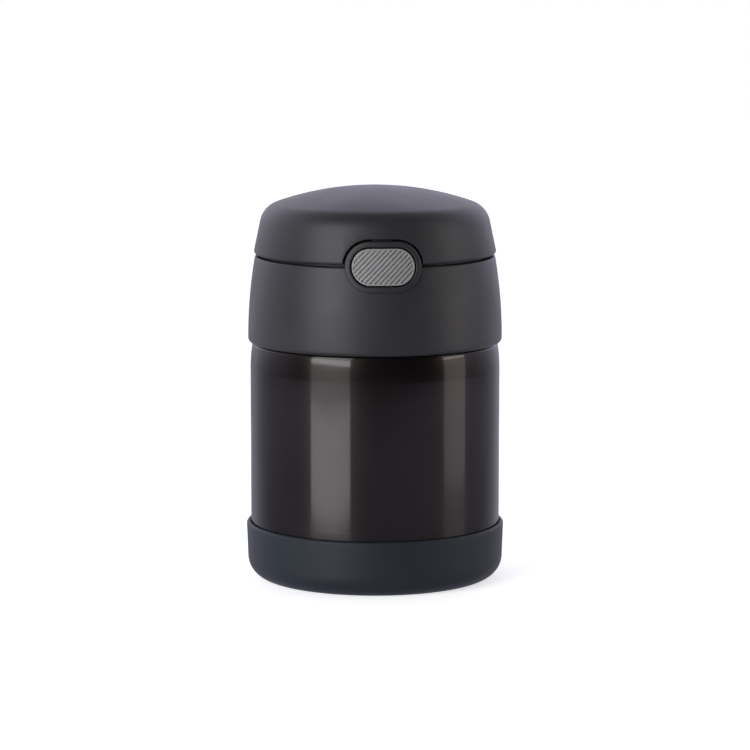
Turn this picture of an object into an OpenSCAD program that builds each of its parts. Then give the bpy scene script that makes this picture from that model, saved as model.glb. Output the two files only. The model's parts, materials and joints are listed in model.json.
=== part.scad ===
// Insulated food jar: a double-walled steel flask in a moulded boot, closed by
// a screw-off insulated lid. A push button on the lid's front frees a hinged
// dome cover, and a folding spoon lies in the tray under that cover.
// Millimetres, +Z up, origin on the table under the jar's axis, front at -Y.

/* [Steel flask] */
// Outside diameter of the steel body
body_d = 88; // [87:0.5:89]
// Height of the flask's mouth above the table
mouth_z = 100.5; // [98.5:0.5:104.5]
// Sheet thickness of the outer shell
shell_wall = 0.5; // [0.4:0.1:0.7]
// Sheet thickness of the inner flask
flask_wall = 0.4; // [0.3:0.1:0.6]
// Width of the evacuated space between the two walls
vacuum_gap = 7.1; // [6.8:0.1:8]
// Height above the table where the shell starts to draw in
shell_shoulder_z = 74; // [70:1:74]

/* [Boot] */
// Height of the moulded boot
boot_h = 19.6; // [16:0.2:24]
// How far the boot's rim stands out of the steel
boot_proud = 1.55; // [1.2:0.05:2]
// Radius of the boot's lower edge
boot_edge_r = 7.68; // [7:0.02:8]

/* [Lid] */
// Height of the screw-off lid's outer collar
collar_h = 30.53; // [30:0.01:32]
// Overlap of the collar below the flask's mouth
collar_drop = 17; // [16.8:0.1:17.6]
// How far the collar's widest ring stands out of the steel
collar_proud = 0.76; // [0.7:0.02:1]
// Lean of the collar's side at its top edge, in degrees
collar_lean = 9.75; // [9:0.25:10]
// Rise of the screw thread in one turn
thread_lead = 8; // [8:0.5:9]
// Gap that shows between collar and cover
seam_gap = 0.9; // [0.8:0.1:1.2]

/* [Cover] */
// Height of the hinged dome cover
cover_h = 23.45; // [23:0.05:25]
// Lean of the cover's side, in degrees
cover_lean = 12.13; // [11.5:0.01:12.5]
// Radius of the cover's shoulder
cover_shoulder_r = 8.49; // [8:0.01:9]

/* [Button] */
// Width of the push button
button_w = 21.4; // [20:0.1:21.6]
// Height of the push button
button_h = 12.9; // [12:0.1:13]
// Width of the raised bezel around the button
bezel_w = 1.95; // [1.8:0.05:2]
// Distance that the button is pressed in
button_travel = 2; // [1.5:0.1:2]
// Distance between the button's diagonal grip ribs
grip_pitch = 1.26; // [1.1:0.02:1.6]
// Slope of the grip ribs, in degrees
grip_slope = 46; // [30:1:60]

/* [Spoon] */
// Width of the spoon's bowl
spoon_w = 32; // [28:0.5:32]
// Depth of the spoon's bowl
spoon_depth = 8; // [6.5:0.5:8]
// Thickness of the spoon's steel
spoon_wall = 0.8; // [0.6:0.1:1]

/* [Hidden] */
$fn = 96;
// Small overlap that joins touching shapes of one node
lap = 0.01;

// Steel flask
shell_r = body_d / 2;
shell_z = 3.4;
shell_corner_r = 5;
shell_flange_r = shell_r - 5.5;
shoulder_sweep_r = 56;
shoulder_turn_r = 2;
shoulder_rise = 8.4;
shoulder_fall = 12;
neck_r = shell_r - 6.6;
neck_fillet_r = 1.5;
lip_t = 0.5;
neck_top_z = mouth_z - lip_t;
flask_r = shell_r - shell_wall - vacuum_gap;
flask_z = 12.1;
flask_corner_r = 8;
flask_neck_r = neck_r - 2;
flask_turn_z = mouth_z - 16.5;
flask_neck_z = mouth_z - 12.5;
plate_z = shell_z + shell_wall;
plate_t = 0.5;
plate_r = shell_r - 5;
dimple_r = 6;
dimple_h = 1.5;
seal_hole_r = 1;
seal_button_t = 0.8;
getter_r = 5;
getter_x = 18;
getter_h = 2;
getter_dish = 0.6;

// Boot
boot_r = shell_r + boot_proud;
boot_edge_turn = 68.5;
boot_side_r = boot_r - 0.43;
boot_side_z = boot_edge_r * sin(boot_edge_turn);
boot_rim_r = 1.1;
boot_fit = 0.1;
foot_recess_r = 35.5;
foot_recess_h = 0.8;

// Lid
collar_z = mouth_z - collar_drop;
collar_r = shell_r + collar_proud;
collar_wall = 1.6;
collar_edge_r = 1.5;
collar_top_r = 0.63;
collar_top_z = collar_z + collar_h;
collar_side_z = collar_z + collar_edge_r;
collar_arc_r = (collar_h - collar_edge_r - collar_top_r) / sin(collar_lean);
collar_lip_r = shell_r - 4.6;
collar_lip_z = collar_z + 2;
collar_lip_t = 0.9;
core_z = collar_lip_z + collar_lip_t;
core_out_r = neck_r + 3.2;
core_in_r = neck_r + 1.9;
ceiling_z = mouth_z + 1.6;
ceiling_t = 1.5;
core_top_z = ceiling_z + ceiling_t;
plug_r = flask_neck_r - 2.2;
plug_wall = 1.4;
plug_z = flask_neck_z;
plug_floor_t = 1.6;
plug_rib_r = plug_r + 1;
plug_rib_z = mouth_z - 3;
plug_rib_t = 0.8;
seal_in_r = plug_r + 0.4;
seal_out_r = neck_r - 0.2;
seal_skirt_t = 0.8;
seal_skirt_z = plug_rib_z + plug_rib_t + 0.3;
seal_top_z = ceiling_z - 0.05;

// Threads: two starts, ridges of trapezoid section
thread_starts = 2;
ridge_root = 2.2;
ridge_crest = 1.2;
ridge_sweep = 300;
ridge_step = 5;
neck_ridge_h = 1.4;
core_ridge_h = 1.5;
ridge_sink = 0.05;
neck_ridge_z = mouth_z - 10.2;

// Deck: the tray under the cover
deck_z = core_top_z;
deck_floor_t = 1.6;
deck_floor_z = deck_z + deck_floor_t;
deck_r = core_out_r - 0.2;
deck_in_r = deck_r - 2.2;
deck_step_z = collar_top_z - 0.83;
deck_rim_r = deck_r - 0.7;
deck_rim_z = collar_top_z + 2.4;
collar_top_in_r = deck_rim_r + 0.2;

// Cover
cover_z = collar_top_z + seam_gap;
cover_top_z = cover_z + cover_h;
cover_r = shell_r - 1.415;
cover_edge_r = 1.1;
cover_wall = 1.6;
cover_side_z = cover_z + cover_edge_r;
cover_turn_z = cover_z + 11.44;
cover_turn_r = cover_r - (cover_turn_z - cover_side_z) * tan(cover_lean);
shoulder_c = [cover_turn_r, cover_turn_z] - cover_shoulder_r * [cos(cover_lean), sin(cover_lean)];
shoulder_to_top = cover_top_z - shoulder_c[1];
crown_r = (pow(shoulder_c[0], 2) + pow(shoulder_to_top, 2) - pow(cover_shoulder_r, 2))
    / (2 * (shoulder_to_top - cover_shoulder_r));
crown_c = [0, cover_top_z - crown_r];
crown_turn = atan2(shoulder_c[1] - crown_c[1], shoulder_c[0]);
liner_gap = 2.6;
liner_wall = 1.2;
liner_z = deck_rim_z + 0.6;
liner_flange_t = 1.2;

// Hinge at the back. Everything in its gap is cut from back_cut_y outwards
back_cut_y = 30;
hinge_y = shell_r - 3.4;
hinge_z = collar_top_z + 2.47;
pin_r = 1;
pin_fit = 0.05;
knuckle_r = 2.2;
lug_in_x = 7.6;
lug_out_x = 11;
knuckle_in_x = 3.9;
knuckle_out_x = 7.3;
hinge_notch_x = 11.7;
collar_notch_h = 2.2;
cover_notch_h = 4.7;
rim_gap_x = 14.2;
shelf_z = collar_top_z - 1.8;
shelf_t = 1.6;
shelf_y = 33;
shelf_back_y = hinge_y - 2.4;
shelf_post_w = 1.6;
web_in = 1.9;
web_out = 1;
web_h = 5.2;
spring_wire_r = 0.3;
torsion_r = 1.55;
torsion_turns = 4.5;
torsion_gap_x = 0.35;
torsion_out_x = 3.4;
torsion_leg = 5.6;
lid_leg_fall = 0.75;
cover_leg_rise = 0.3;
push_rib_w = 1.6;
push_rib_z = hinge_z + torsion_r + spring_wire_r + cover_leg_rise + 0.1;
push_rib_top_z = hinge_z + 9.5;

// Button and latch
button_z = collar_top_z;
button_fit = 0.25;
bezel_in_w = button_w + 2 * button_fit;
bezel_in_h = button_h + 2 * button_fit;
bezel_out_w = bezel_in_w + 2 * bezel_w;
bezel_out_h = bezel_in_h + 2 * bezel_w;
bezel_slope = 0.136;
bezel_face_r = cover_r + 0.45;
face_cone_h = 24;
face_far_y = -(shell_r + 4);
button_back_y = -39;
button_sunk = 0.35;
grip_margin = 0.5;
bezel_back_y = -36.6;
deck_cut_y = -30;
box_x = 10.2;
box_z = 6.2;
box_wall = 1.2;
catch_x = 3.5;
catch_y = -38;
catch_t = 1.2;
catch_tip_z = button_z - 1.73;
catch_top_z = cover_z + 10;
barb = 0.9;
barb_h = 1.9;
latch_gap = 0.3;
tongue_y = catch_y + catch_t + barb + latch_gap;
tongue_h = 2.1;
tongue_x = 4;
tongue_z = catch_tip_z + barb_h + 0.3;
arm_in_x = 6;
arm_out_x = 8;
arm_h = 7;
crossbar_y = tongue_y + 1.6;
crossbar_t = 1.4;
spring_l = button_travel + 3;
box_back_y = crossbar_y + crossbar_t + spring_l + box_wall;
rib_h = 0.35;
rib_share = 0.55;
coil_r = 1.9;
coil_turns = 4;

// Spoon, folded, lying along X
spoon_y = 4;
spoon_rim_z = deck_floor_z + 9.1;
bowl_x = -13;
tip_x = 1;
tip_w = 0.75;
spoon_pin_x = 30;
spoon_pin_z = spoon_rim_z + 0.9;
handle_w = 11;
handle_t = 1.4;
handle_z = spoon_rim_z + 2.1;
handle_end_x = -34;
handle_pin_end_x = 34.5;
neck_w = 8;
neck_t = 1.2;
neck_sunk = 0.7;
neck_z = spoon_rim_z - neck_sunk;
spoon_barrel_r = 2;
spoon_barrel_w = 5.2;
spoon_lug_gap = 0.4;
handle_edge = 0.6;
clip_x = 19;
clip_l = 7;
clip_t = 1.4;
clip_fit = 0.4;
clip_rise = 2;
ball_r = (pow(spoon_w / 2, 2) + pow(spoon_depth, 2)) / (2 * spoon_depth);
cradle_r = 9;
cradle_wall = 1.4;
cradle_h = 3.8;
cradle_fit = 0.15;
rest_x = -2;
rest_w = 1.4;
rest_h = 2.3;
rest_half_l = 6;

// Colours
lid_grey = "#3f4044";
boot_grey = "#2f363c";
steel_dark = "#2a2524";
steel_bare = "#c4c6c8";
button_grey = "#8f8f8f";

// ---- outlines ----

function arc(c, r, a0, a1, n = 10) =
    [for (i = [0:n]) let (a = a0 + (a1 - a0) * i / n) c + r * [cos(a), sin(a)]];

function reversed(p) = [for (i = [len(p) - 1:-1:0]) p[i]];

// Closed outline of a sheet that lies between two offsets of one curve
function sheet(outer, inner) = concat(outer, reversed(inner));

shoulder_sweep = asin(shoulder_rise / shoulder_sweep_r);
sweep_c = [shell_r - shoulder_sweep_r, shell_shoulder_z];
turn_c = sweep_c + (shoulder_sweep_r - shoulder_turn_r) * [cos(shoulder_sweep), sin(shoulder_sweep)];
turn_end = turn_c + shoulder_turn_r * [sin(shoulder_fall), cos(shoulder_fall)];
fillet_x = neck_r + neck_fillet_r * (1 - sin(shoulder_fall));
fillet_z = turn_end[1] + (turn_end[0] - fillet_x) * tan(shoulder_fall) + neck_fillet_r * cos(shoulder_fall);

function shell_curve(inset) = concat(
    [[shell_flange_r, shell_z + inset]],
    arc([shell_r - shell_corner_r, shell_z + shell_corner_r], shell_corner_r - inset, -90, 0),
    arc(sweep_c, shoulder_sweep_r - inset, 0, shoulder_sweep),
    arc(turn_c, shoulder_turn_r - inset, shoulder_sweep, 90 - shoulder_fall),
    arc([neck_r + neck_fillet_r, fillet_z], neck_fillet_r + inset, 270 - shoulder_fall, 180, 6),
    [[neck_r - inset, neck_top_z]]);

function flask_curve(inset) = concat(
    [[0, flask_z + inset]],
    arc([flask_r - flask_corner_r, flask_z + flask_corner_r], flask_corner_r - inset, -90, 0),
    [[flask_r - inset, flask_turn_z], [flask_neck_r - inset, flask_neck_z]]);

function plate_curve(inset) = [
    [seal_hole_r, plate_z + dimple_h + inset], [dimple_r - 1, plate_z + dimple_h + inset],
    [dimple_r, plate_z + inset], [plate_r, plate_z + inset]];

function collar_side(inset) =
    arc([collar_r - collar_arc_r, collar_side_z], collar_arc_r - inset, 0, collar_lean);

function cover_curve(inset) = concat(
    arc(shoulder_c, cover_shoulder_r - inset, cover_lean, crown_turn, 12),
    arc(crown_c, crown_r - inset, crown_turn, 90, 16));

// Radius of the cover's side at height z, drawn in by inset
function cover_side(z, inset) =
    cover_r - (z - cover_side_z) * tan(cover_lean) - inset / cos(cover_lean);

module stadium(w, h) {
    square([w - h, h], center = true);
    for (side = [-1, 1])
        translate([side * (w - h) / 2, 0])
            circle(d = h);
}

// A flat shape drawn in the XZ plane about the button's centre, filling y0 to y1
module through_front(y0, y1) {
    translate([0, y1, button_z])
        rotate([90, 0, 0])
            linear_extrude(y1 - y0)
                children();
}

// A box given by its two corners
module block(low, high) {
    translate(low)
        cube(high - low);
}

// A cylinder along X between x0 and x1, at height z and depth y
module rod_x(x0, x1, y, z, r) {
    translate([x0, y, z])
        rotate([0, 90, 0])
            cylinder(h = x1 - x0, r = r);
}

// A cylinder along Y between y0 and y1
module rod_y(x, y0, y1, z, r) {
    translate([x, y1, z])
        rotate([90, 0, 0])
            cylinder(h = y1 - y0, r = r);
}

// Cone round the jar's axis that the faces of bezel and button lie on, raised by lift
module face_cone(lift) {
    flare = face_cone_h / 2 * bezel_slope;
    translate([0, 0, button_z - face_cone_h / 2])
        cylinder(h = face_cone_h, r1 = bezel_face_r + lift + flare, r2 = bezel_face_r + lift - flare);
}

// ---- swept wires and ridges ----

// Solid swept through rings of points, closed at both ends
module swept(rings) {
    n = len(rings);
    m = len(rings[0]);
    sides = [for (i = [0:n - 2], j = [0:m - 1])
        [i * m + j, i * m + (j + 1) % m, (i + 1) * m + (j + 1) % m, (i + 1) * m + j]];
    polyhedron(
        points = [for (ring = rings, p = ring) p],
        faces = concat([reversed([for (j = [0:m - 1]) j])], sides,
            [[for (j = [0:m - 1]) (n - 1) * m + j]]),
        convexity = 10);
}

// Ring of points about p, in the plane of the unit vectors u and v
function ring_at(p, u, v, r, m = 6) =
    [for (j = [0:m - 1]) p + r * (cos(j * 360 / m) * u + sin(j * 360 / m) * v)];

// Share of a ridge's full height at angle a along it, tapering at both ends
function run_out(a) = max(0.05, min(1, a / 25, (ridge_sweep - a) / 25));

// Helical thread ridge that stands out of radius r by h, inwards if h is negative
module thread_ridge(r, h, z, start) {
    root_r = r - sign(h) * ridge_sink;
    rings = [for (a = [0:ridge_step:ridge_sweep])
        let (
            rise = z + thread_lead * a / 360,
            tip_r = r + h * run_out(a),
            half_root = ridge_root / 2,
            half_tip = ridge_crest / 2,
            way = [cos(start + a), sin(start + a), 0],
            up = [0, 0, 1],
            section = [root_r * way + (rise - half_root) * up, tip_r * way + (rise - half_tip) * up,
                tip_r * way + (rise + half_tip) * up, root_r * way + (rise + half_root) * up])
        h > 0 ? reversed(section) : section];
    swept(rings);
}

// Half of the torsion spring: a coil about the pin that runs into a straight leg
module torsion_half(x0, x1, end_angle, leg) {
    steps = 12 * torsion_turns;
    turn = x1 > x0 ? -1 : 1;
    coil = [for (i = [0:steps])
        let (
            a = end_angle + turn * 30 * (steps - i),
            x = x0 + (x1 - x0) * i / steps,
            out = [0, cos(a), sin(a)])
        ring_at([x, hinge_y, hinge_z] + torsion_r * out, out, [turn, 0, 0], spring_wire_r)];
    last = [0, cos(end_angle), sin(end_angle)];
    leg_end = ring_at([x1, hinge_y, hinge_z] + torsion_r * last + leg, last, [turn, 0, 0], spring_wire_r);
    swept(concat(coil, [leg_end]));
}

// ---- steel flask and boot ----

module outer_shell() {
    color(steel_dark)
        rotate_extrude()
            polygon(sheet(shell_curve(0), shell_curve(shell_wall)));
}

module neck_thread() {
    color(steel_bare)
        for (i = [0:thread_starts - 1])
            thread_ridge(neck_r, neck_ridge_h, neck_ridge_z, i * 360 / thread_starts);
}

module inner_flask() {
    lip = [[flask_neck_r, neck_top_z], [neck_r, neck_top_z],
        [neck_r, mouth_z], [flask_neck_r - flask_wall, mouth_z]];
    color(steel_bare)
        rotate_extrude()
            polygon(concat(flask_curve(0), lip, reversed(flask_curve(flask_wall))));
}

module bottom_plate() {
    color(steel_bare)
        rotate_extrude()
            polygon(sheet(plate_curve(0), plate_curve(plate_t)));
}

module getter_pack() {
    color(steel_bare)
        translate([getter_x, 0, plate_z + plate_t])
            difference() {
                cylinder(h = getter_h, r = getter_r);
                translate([0, 0, getter_h - getter_dish])
                    cylinder(h = getter_h, r = getter_r - 1);
            }
}

module vacuum_seal() {
    hole_z = plate_z + dimple_h;
    color(steel_bare) {
        translate([0, 0, hole_z - seal_button_t])
            cylinder(h = seal_button_t, r = 2.4 * seal_hole_r);
        translate([0, 0, hole_z - lap])
            cylinder(h = plate_t + 0.2, r = seal_hole_r - 0.05);
    }
}

module base_boot() {
    rim_c = [boot_r - boot_rim_r, boot_h - boot_rim_r];
    corner_c = [shell_r - shell_corner_r, shell_z + shell_corner_r];
    outline = concat(
        [[0, foot_recess_h], [foot_recess_r, foot_recess_h], [foot_recess_r + foot_recess_h, 0]],
        arc([boot_side_r - boot_edge_r, boot_side_z], boot_edge_r, -boot_edge_turn, 0, 16),
        arc(rim_c, boot_rim_r, 0, 90),
        [[shell_r + boot_fit, boot_h]],
        arc(corner_c, shell_corner_r + boot_fit, 0, -90),
        [[0, shell_z - boot_fit]]);
    color(boot_grey)
        rotate_extrude()
            polygon(outline);
}

// ---- screw-off lid ----

module seal_ring() {
    skirt_r = seal_in_r + seal_skirt_t;
    color("#d8d8d4")
        rotate_extrude()
            polygon([[seal_in_r, seal_skirt_z], [skirt_r, seal_skirt_z], [skirt_r, mouth_z],
                [seal_out_r, mouth_z], [seal_out_r, seal_top_z], [seal_in_r, seal_top_z]]);
}

// Stadium hole for the bezel, wider than it by gap all round, as far back as back_y
module lid_front_cut(gap, back_y) {
    through_front(face_far_y, back_y)
        stadium(bezel_out_w + 2 * gap, bezel_out_h + 2 * gap);
}

module collar() {
    inner = reversed(collar_side(collar_wall));
    top_in = [for (p = inner) if (p[1] < deck_step_z) p];
    inner_r = collar_r - collar_wall;
    top_turn = [collar_r - collar_arc_r, collar_side_z]
        + (collar_arc_r - collar_top_r) * [cos(collar_lean), sin(collar_lean)];
    outline = concat(
        arc([collar_r - collar_edge_r, collar_side_z], collar_edge_r, -90, 0),
        collar_side(0),
        arc(top_turn, collar_top_r, collar_lean, 90, 6),
        [[collar_top_in_r, top_turn[1] + collar_top_r], [collar_top_in_r, deck_step_z],
            [top_in[0][0] - 0.2, deck_step_z]],
        [for (p = top_in) if (p[1] > core_z) p],
        [[inner_r, core_z], [collar_lip_r, core_z], [collar_lip_r, collar_lip_z],
            [inner_r, collar_lip_z], [inner_r, collar_z + 0.3]]);
    color(lid_grey)
        difference() {
            rotate_extrude()
                polygon(outline);
            lid_front_cut(0.05, bezel_back_y);
            block([-hinge_notch_x, back_cut_y, collar_top_z - collar_notch_h],
                [hinge_notch_x, shell_r + 2, collar_top_z + 2]);
        }
}

// Moulded inner cap: threaded skirt, ceiling and hollow stopper
module lid_core() {
    color("#d9d9d6")
        rotate_extrude()
            polygon([[core_in_r, core_z], [core_out_r, core_z], [core_out_r, core_top_z],
                [plug_r - plug_wall, core_top_z], [plug_r - plug_wall, plug_z + plug_floor_t],
                [0, plug_z + plug_floor_t], [0, plug_z], [plug_r - 1, plug_z], [plug_r, plug_z + 1],
                [plug_r, plug_rib_z - 0.3], [plug_rib_r, plug_rib_z], [plug_rib_r, plug_rib_z + plug_rib_t],
                [plug_r, plug_rib_z + plug_rib_t], [plug_r, ceiling_z], [core_in_r, ceiling_z]]);
}

module core_thread() {
    half_pitch = thread_lead / thread_starts / 2;
    color("#d9d9d6")
        for (i = [0:thread_starts - 1])
            thread_ridge(core_in_r, -core_ridge_h, neck_ridge_z - half_pitch, i * 360 / thread_starts);
}

module insulation_core() {
    color("#e8e4d8")
        translate([0, 0, plug_z + plug_floor_t + 0.1])
            cylinder(h = core_top_z - plug_z - plug_floor_t - 0.2, r = plug_r - plug_wall - 0.2);
}

module spoon_clips() {
    for (side = [-1, 1])
        translate([clip_x, spoon_y + side * (handle_w / 2 + clip_fit + clip_t / 2), deck_floor_z - lap])
            translate([0, -clip_t / 2, 0])
                cube([clip_l, clip_t, handle_z + clip_rise - deck_floor_z]);
}

// Half ring under the bowl's round end and a low rib under its narrow end
module spoon_cradle() {
    translate([bowl_x, spoon_y, deck_floor_z])
        difference() {
            translate([0, 0, -lap])
                cylinder(h = cradle_h, r = cradle_r + cradle_wall);
            translate([0, 0, -2 * lap])
                cylinder(h = cradle_h + 3 * lap, r = cradle_r);
            block([0, -2 * cradle_r, -1], [2 * cradle_r, 2 * cradle_r, cradle_h + 1]);
            translate([0, 0, spoon_rim_z - spoon_depth + ball_r - deck_floor_z])
                sphere(r = ball_r + cradle_fit);
        }
    block([rest_x, spoon_y - rest_half_l, deck_floor_z - lap],
        [rest_x + rest_w, spoon_y + rest_half_l, deck_floor_z + rest_h]);
}

module hinge_lugs() {
    for (side = [-1, 1]) {
        mid = side * (lug_in_x + lug_out_x) / 2;
        half = (lug_out_x - lug_in_x) / 2;
        rod_x(mid - half, mid + half, hinge_y, hinge_z, knuckle_r);
        block([mid - half, hinge_y - 3.6, shelf_z], [mid + half, hinge_y + 0.6, hinge_z]);
    }
    block([-lug_out_x, shelf_y, shelf_z], [lug_out_x, shelf_back_y, shelf_z + shelf_t]);
    for (x = [-lug_out_x, -shelf_post_w / 2, lug_out_x - shelf_post_w])
        block([x, shelf_y, deck_floor_z - lap], [x + shelf_post_w, shelf_back_y, shelf_z + lap]);
}

module lid_deck() {
    color(lid_grey)
        difference() {
            union() {
                difference() {
                    rotate_extrude()
                        polygon([[0, deck_z], [deck_r, deck_z], [deck_r, deck_step_z],
                            [deck_rim_r, deck_step_z], [deck_rim_r, deck_rim_z],
                            [deck_in_r, deck_rim_z], [deck_in_r, deck_floor_z], [0, deck_floor_z]]);
                    lid_front_cut(0.1, deck_cut_y);
                    block([-rim_gap_x, back_cut_y, shelf_z + shelf_t], [rim_gap_x, shell_r, deck_rim_z + 1]);
                }
                hinge_lugs();
                spoon_clips();
                spoon_cradle();
            }
            rod_x(-lug_out_x - 1, lug_out_x + 1, hinge_y, hinge_z, pin_r);
        }
}

module hinge_pin() {
    color(steel_bare)
        rod_x(-lug_out_x, lug_out_x, hinge_y, hinge_z, pin_r);
}

module hinge_spring_lid_end() {
    color(steel_bare)
        torsion_half(-torsion_gap_x, -torsion_out_x, -90, [0, -torsion_leg, -lid_leg_fall]);
}

// ---- push button and latch ----

// Raised oval ring and, behind it, the guide box of the latch
module button_bezel() {
    color(lid_grey)
        difference() {
            union() {
                intersection() {
                    through_front(face_far_y, bezel_back_y)
                        stadium(bezel_out_w, bezel_out_h);
                    face_cone(0);
                }
                block([-box_x, bezel_back_y - 1, button_z - box_z], [box_x, box_back_y, button_z + box_z]);
            }
            through_front(face_far_y, bezel_back_y)
                stadium(bezel_in_w, bezel_in_h);
            block([-box_x + box_wall, bezel_back_y - 1.5, button_z - box_z + box_wall],
                [box_x - box_wall, box_back_y - box_wall, button_z + box_z - box_wall]);
            block([-catch_x - 1, catch_y - 0.8, button_z],
                [catch_x + 1, tongue_y + 1, button_z + bezel_out_h]);
        }
}

module grip_stripes() {
    count = ceil(button_w / grip_pitch);
    for (i = [-count:count])
        rotate(grip_slope)
            translate([0, i * grip_pitch])
                square([2 * button_w, rib_share * grip_pitch], center = true);
}

module button() {
    color(button_grey)
        difference() {
            union() {
                intersection() {
                    through_front(face_far_y, button_back_y)
                        stadium(button_w, button_h);
                    face_cone(-button_sunk);
                }
                intersection() {
                    through_front(face_far_y, button_back_y - grip_margin)
                        intersection() {
                            stadium(button_w - 2 * grip_margin, button_h - 2 * grip_margin);
                            grip_stripes();
                        }
                    face_cone(rib_h - button_sunk);
                }
            }
            block([-catch_x - 0.6, button_back_y - 1.6, catch_tip_z - 0.7],
                [catch_x + 0.6, button_back_y + 1, button_z + button_h]);
        }
}

// Frame behind the button: its tongue hooks over the barb of the cover's catch
module latch_slider() {
    bar = [crossbar_y, crossbar_y + crossbar_t];
    low_z = button_z - arm_h / 2;
    color("#2c2c2e") {
        for (side = [-1, 1]) {
            mid = side * (arm_in_x + arm_out_x) / 2;
            half = (arm_out_x - arm_in_x) / 2;
            block([mid - half, button_back_y, low_z], [mid + half, bar[1], low_z + arm_h]);
        }
        block([-arm_in_x - lap, bar[0], low_z], [arm_in_x + lap, bar[1], low_z + arm_h]);
        block([-tongue_x, tongue_y, tongue_z], [tongue_x, bar[0] + lap, tongue_z + tongue_h]);
    }
}

module button_spring() {
    front_y = crossbar_y + crossbar_t + spring_wire_r;
    back_y = box_back_y - box_wall - spring_wire_r;
    steps = 12 * coil_turns;
    rings = [for (i = [0:steps])
        let (
            a = 30 * i,
            out = [cos(a), 0, sin(a)],
            middle = [0, front_y + (back_y - front_y) * i / steps, button_z])
        ring_at(middle + coil_r * out, out, [0, 1, 0], spring_wire_r)];
    color(steel_bare)
        swept(rings);
}

// ---- hinged cover ----

module cover_notches(gap) {
    through_front(face_far_y, -20)
        stadium(bezel_out_w + 2 * gap, bezel_out_h + 2 * gap);
    block([-hinge_notch_x, back_cut_y, cover_z - 1], [hinge_notch_x, shell_r, cover_z + cover_notch_h]);
}

module cover_solid() {
    edge_c = [cover_r - cover_edge_r, cover_side_z];
    rotate_extrude()
        polygon(concat([[0, cover_z]], arc(edge_c, cover_edge_r, -90, 0), cover_curve(0)));
}

module cover_knuckles() {
    for (side = [-1, 1]) {
        mid = side * (knuckle_in_x + knuckle_out_x) / 2;
        half = (knuckle_out_x - knuckle_in_x) / 2;
        rod_x(mid - half, mid + half, hinge_y, hinge_z, knuckle_r);
        intersection() {
            block([mid - half, hinge_y - web_in, hinge_z], [mid + half, hinge_y + web_out, hinge_z + web_h]);
            cover_solid();
        }
    }
}

module cover_shell() {
    edge_c = [cover_r - cover_edge_r, cover_side_z];
    low_in = cover_side(cover_z, cover_wall);
    color(lid_grey)
        difference() {
            union() {
                difference() {
                    rotate_extrude()
                        polygon(concat([[low_in, cover_z]], arc(edge_c, cover_edge_r, -90, 0),
                            cover_curve(0), reversed(cover_curve(cover_wall))));
                    cover_notches(0.5);
                }
                cover_knuckles();
            }
            rod_x(-hinge_notch_x, hinge_notch_x, hinge_y, hinge_z, pin_r + pin_fit);
        }
}

module cover_catch() {
    tip = catch_y + catch_t;
    block([-catch_x, catch_y, catch_tip_z], [catch_x, tip, catch_top_z]);
    translate([catch_x, 0, 0])
        rotate([0, -90, 0])
            linear_extrude(2 * catch_x)
                polygon([[catch_tip_z, tip - lap], [catch_tip_z + barb_h, tip - lap],
                    [catch_tip_z + barb_h, tip + barb], [catch_tip_z + 1, tip + barb]]);
}

// Inner skin of the cover, with the latch's catch and a rib that the hinge spring pushes up on
module cover_liner() {
    flange_top = liner_z + liner_flange_t;
    outline = concat(
        [[cover_side(liner_z, liner_gap + liner_wall), liner_z],
            [cover_side(liner_z, cover_wall + 0.1), liner_z],
            [cover_side(flange_top, cover_wall + 0.1), flange_top],
            [cover_side(flange_top, liner_gap), flange_top]],
        cover_curve(liner_gap),
        reversed(cover_curve(liner_gap + liner_wall)));
    color("#4a4b4f") {
        difference() {
            rotate_extrude()
                polygon(outline);
            cover_notches(0.5);
            block([-hinge_notch_x - 0.3, back_cut_y, cover_z],
                [hinge_notch_x + 0.3, shell_r, hinge_z + web_h + 0.3]);
        }
        cover_catch();
        block([torsion_out_x - push_rib_w / 2, shelf_y + 0.5, push_rib_z],
            [torsion_out_x + push_rib_w / 2, hinge_y - 3.2, push_rib_top_z]);
    }
}

module hinge_spring_cover_end() {
    color(steel_bare)
        torsion_half(torsion_gap_x, torsion_out_x, 90, [0, -torsion_leg, cover_leg_rise]);
}

// ---- folding spoon ----

// Two ball caps blended into an egg-shaped cup below the rim, drawn in by inset
module bowl_form(inset) {
    intersection() {
        hull() {
            translate([bowl_x, spoon_y, spoon_rim_z - spoon_depth + ball_r])
                sphere(r = ball_r - inset, $fn = 48);
            translate([tip_x, spoon_y, spoon_rim_z + tip_w * (ball_r - spoon_depth)])
                sphere(r = tip_w * ball_r - inset, $fn = 48);
        }
        block([-45, spoon_y - 25, spoon_rim_z - 20], [30, spoon_y + 25, spoon_rim_z + (inset > 0 ? lap : 0)]);
    }
}

module spoon_bowl() {
    tip_end_x = tip_x + tip_w * spoon_w / 2;
    barrel_in_x = spoon_pin_x - spoon_barrel_r - 1;
    color(steel_bare)
        difference() {
            union() {
                difference() {
                    bowl_form(0);
                    bowl_form(spoon_wall);
                }
                block([tip_end_x - 0.9, spoon_y - neck_w / 2, neck_z],
                    [barrel_in_x + 0.2, spoon_y + neck_w / 2, neck_z + neck_t]);
                block([barrel_in_x, spoon_y - spoon_barrel_w / 2, neck_z],
                    [spoon_pin_x, spoon_y + spoon_barrel_w / 2, neck_z + neck_t]);
                rod_y(spoon_pin_x, spoon_y - spoon_barrel_w / 2, spoon_y + spoon_barrel_w / 2,
                    spoon_pin_z, spoon_barrel_r);
            }
            rod_y(spoon_pin_x, spoon_y - neck_w, spoon_y + neck_w, spoon_pin_z, pin_r + pin_fit);
        }
}

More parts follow.
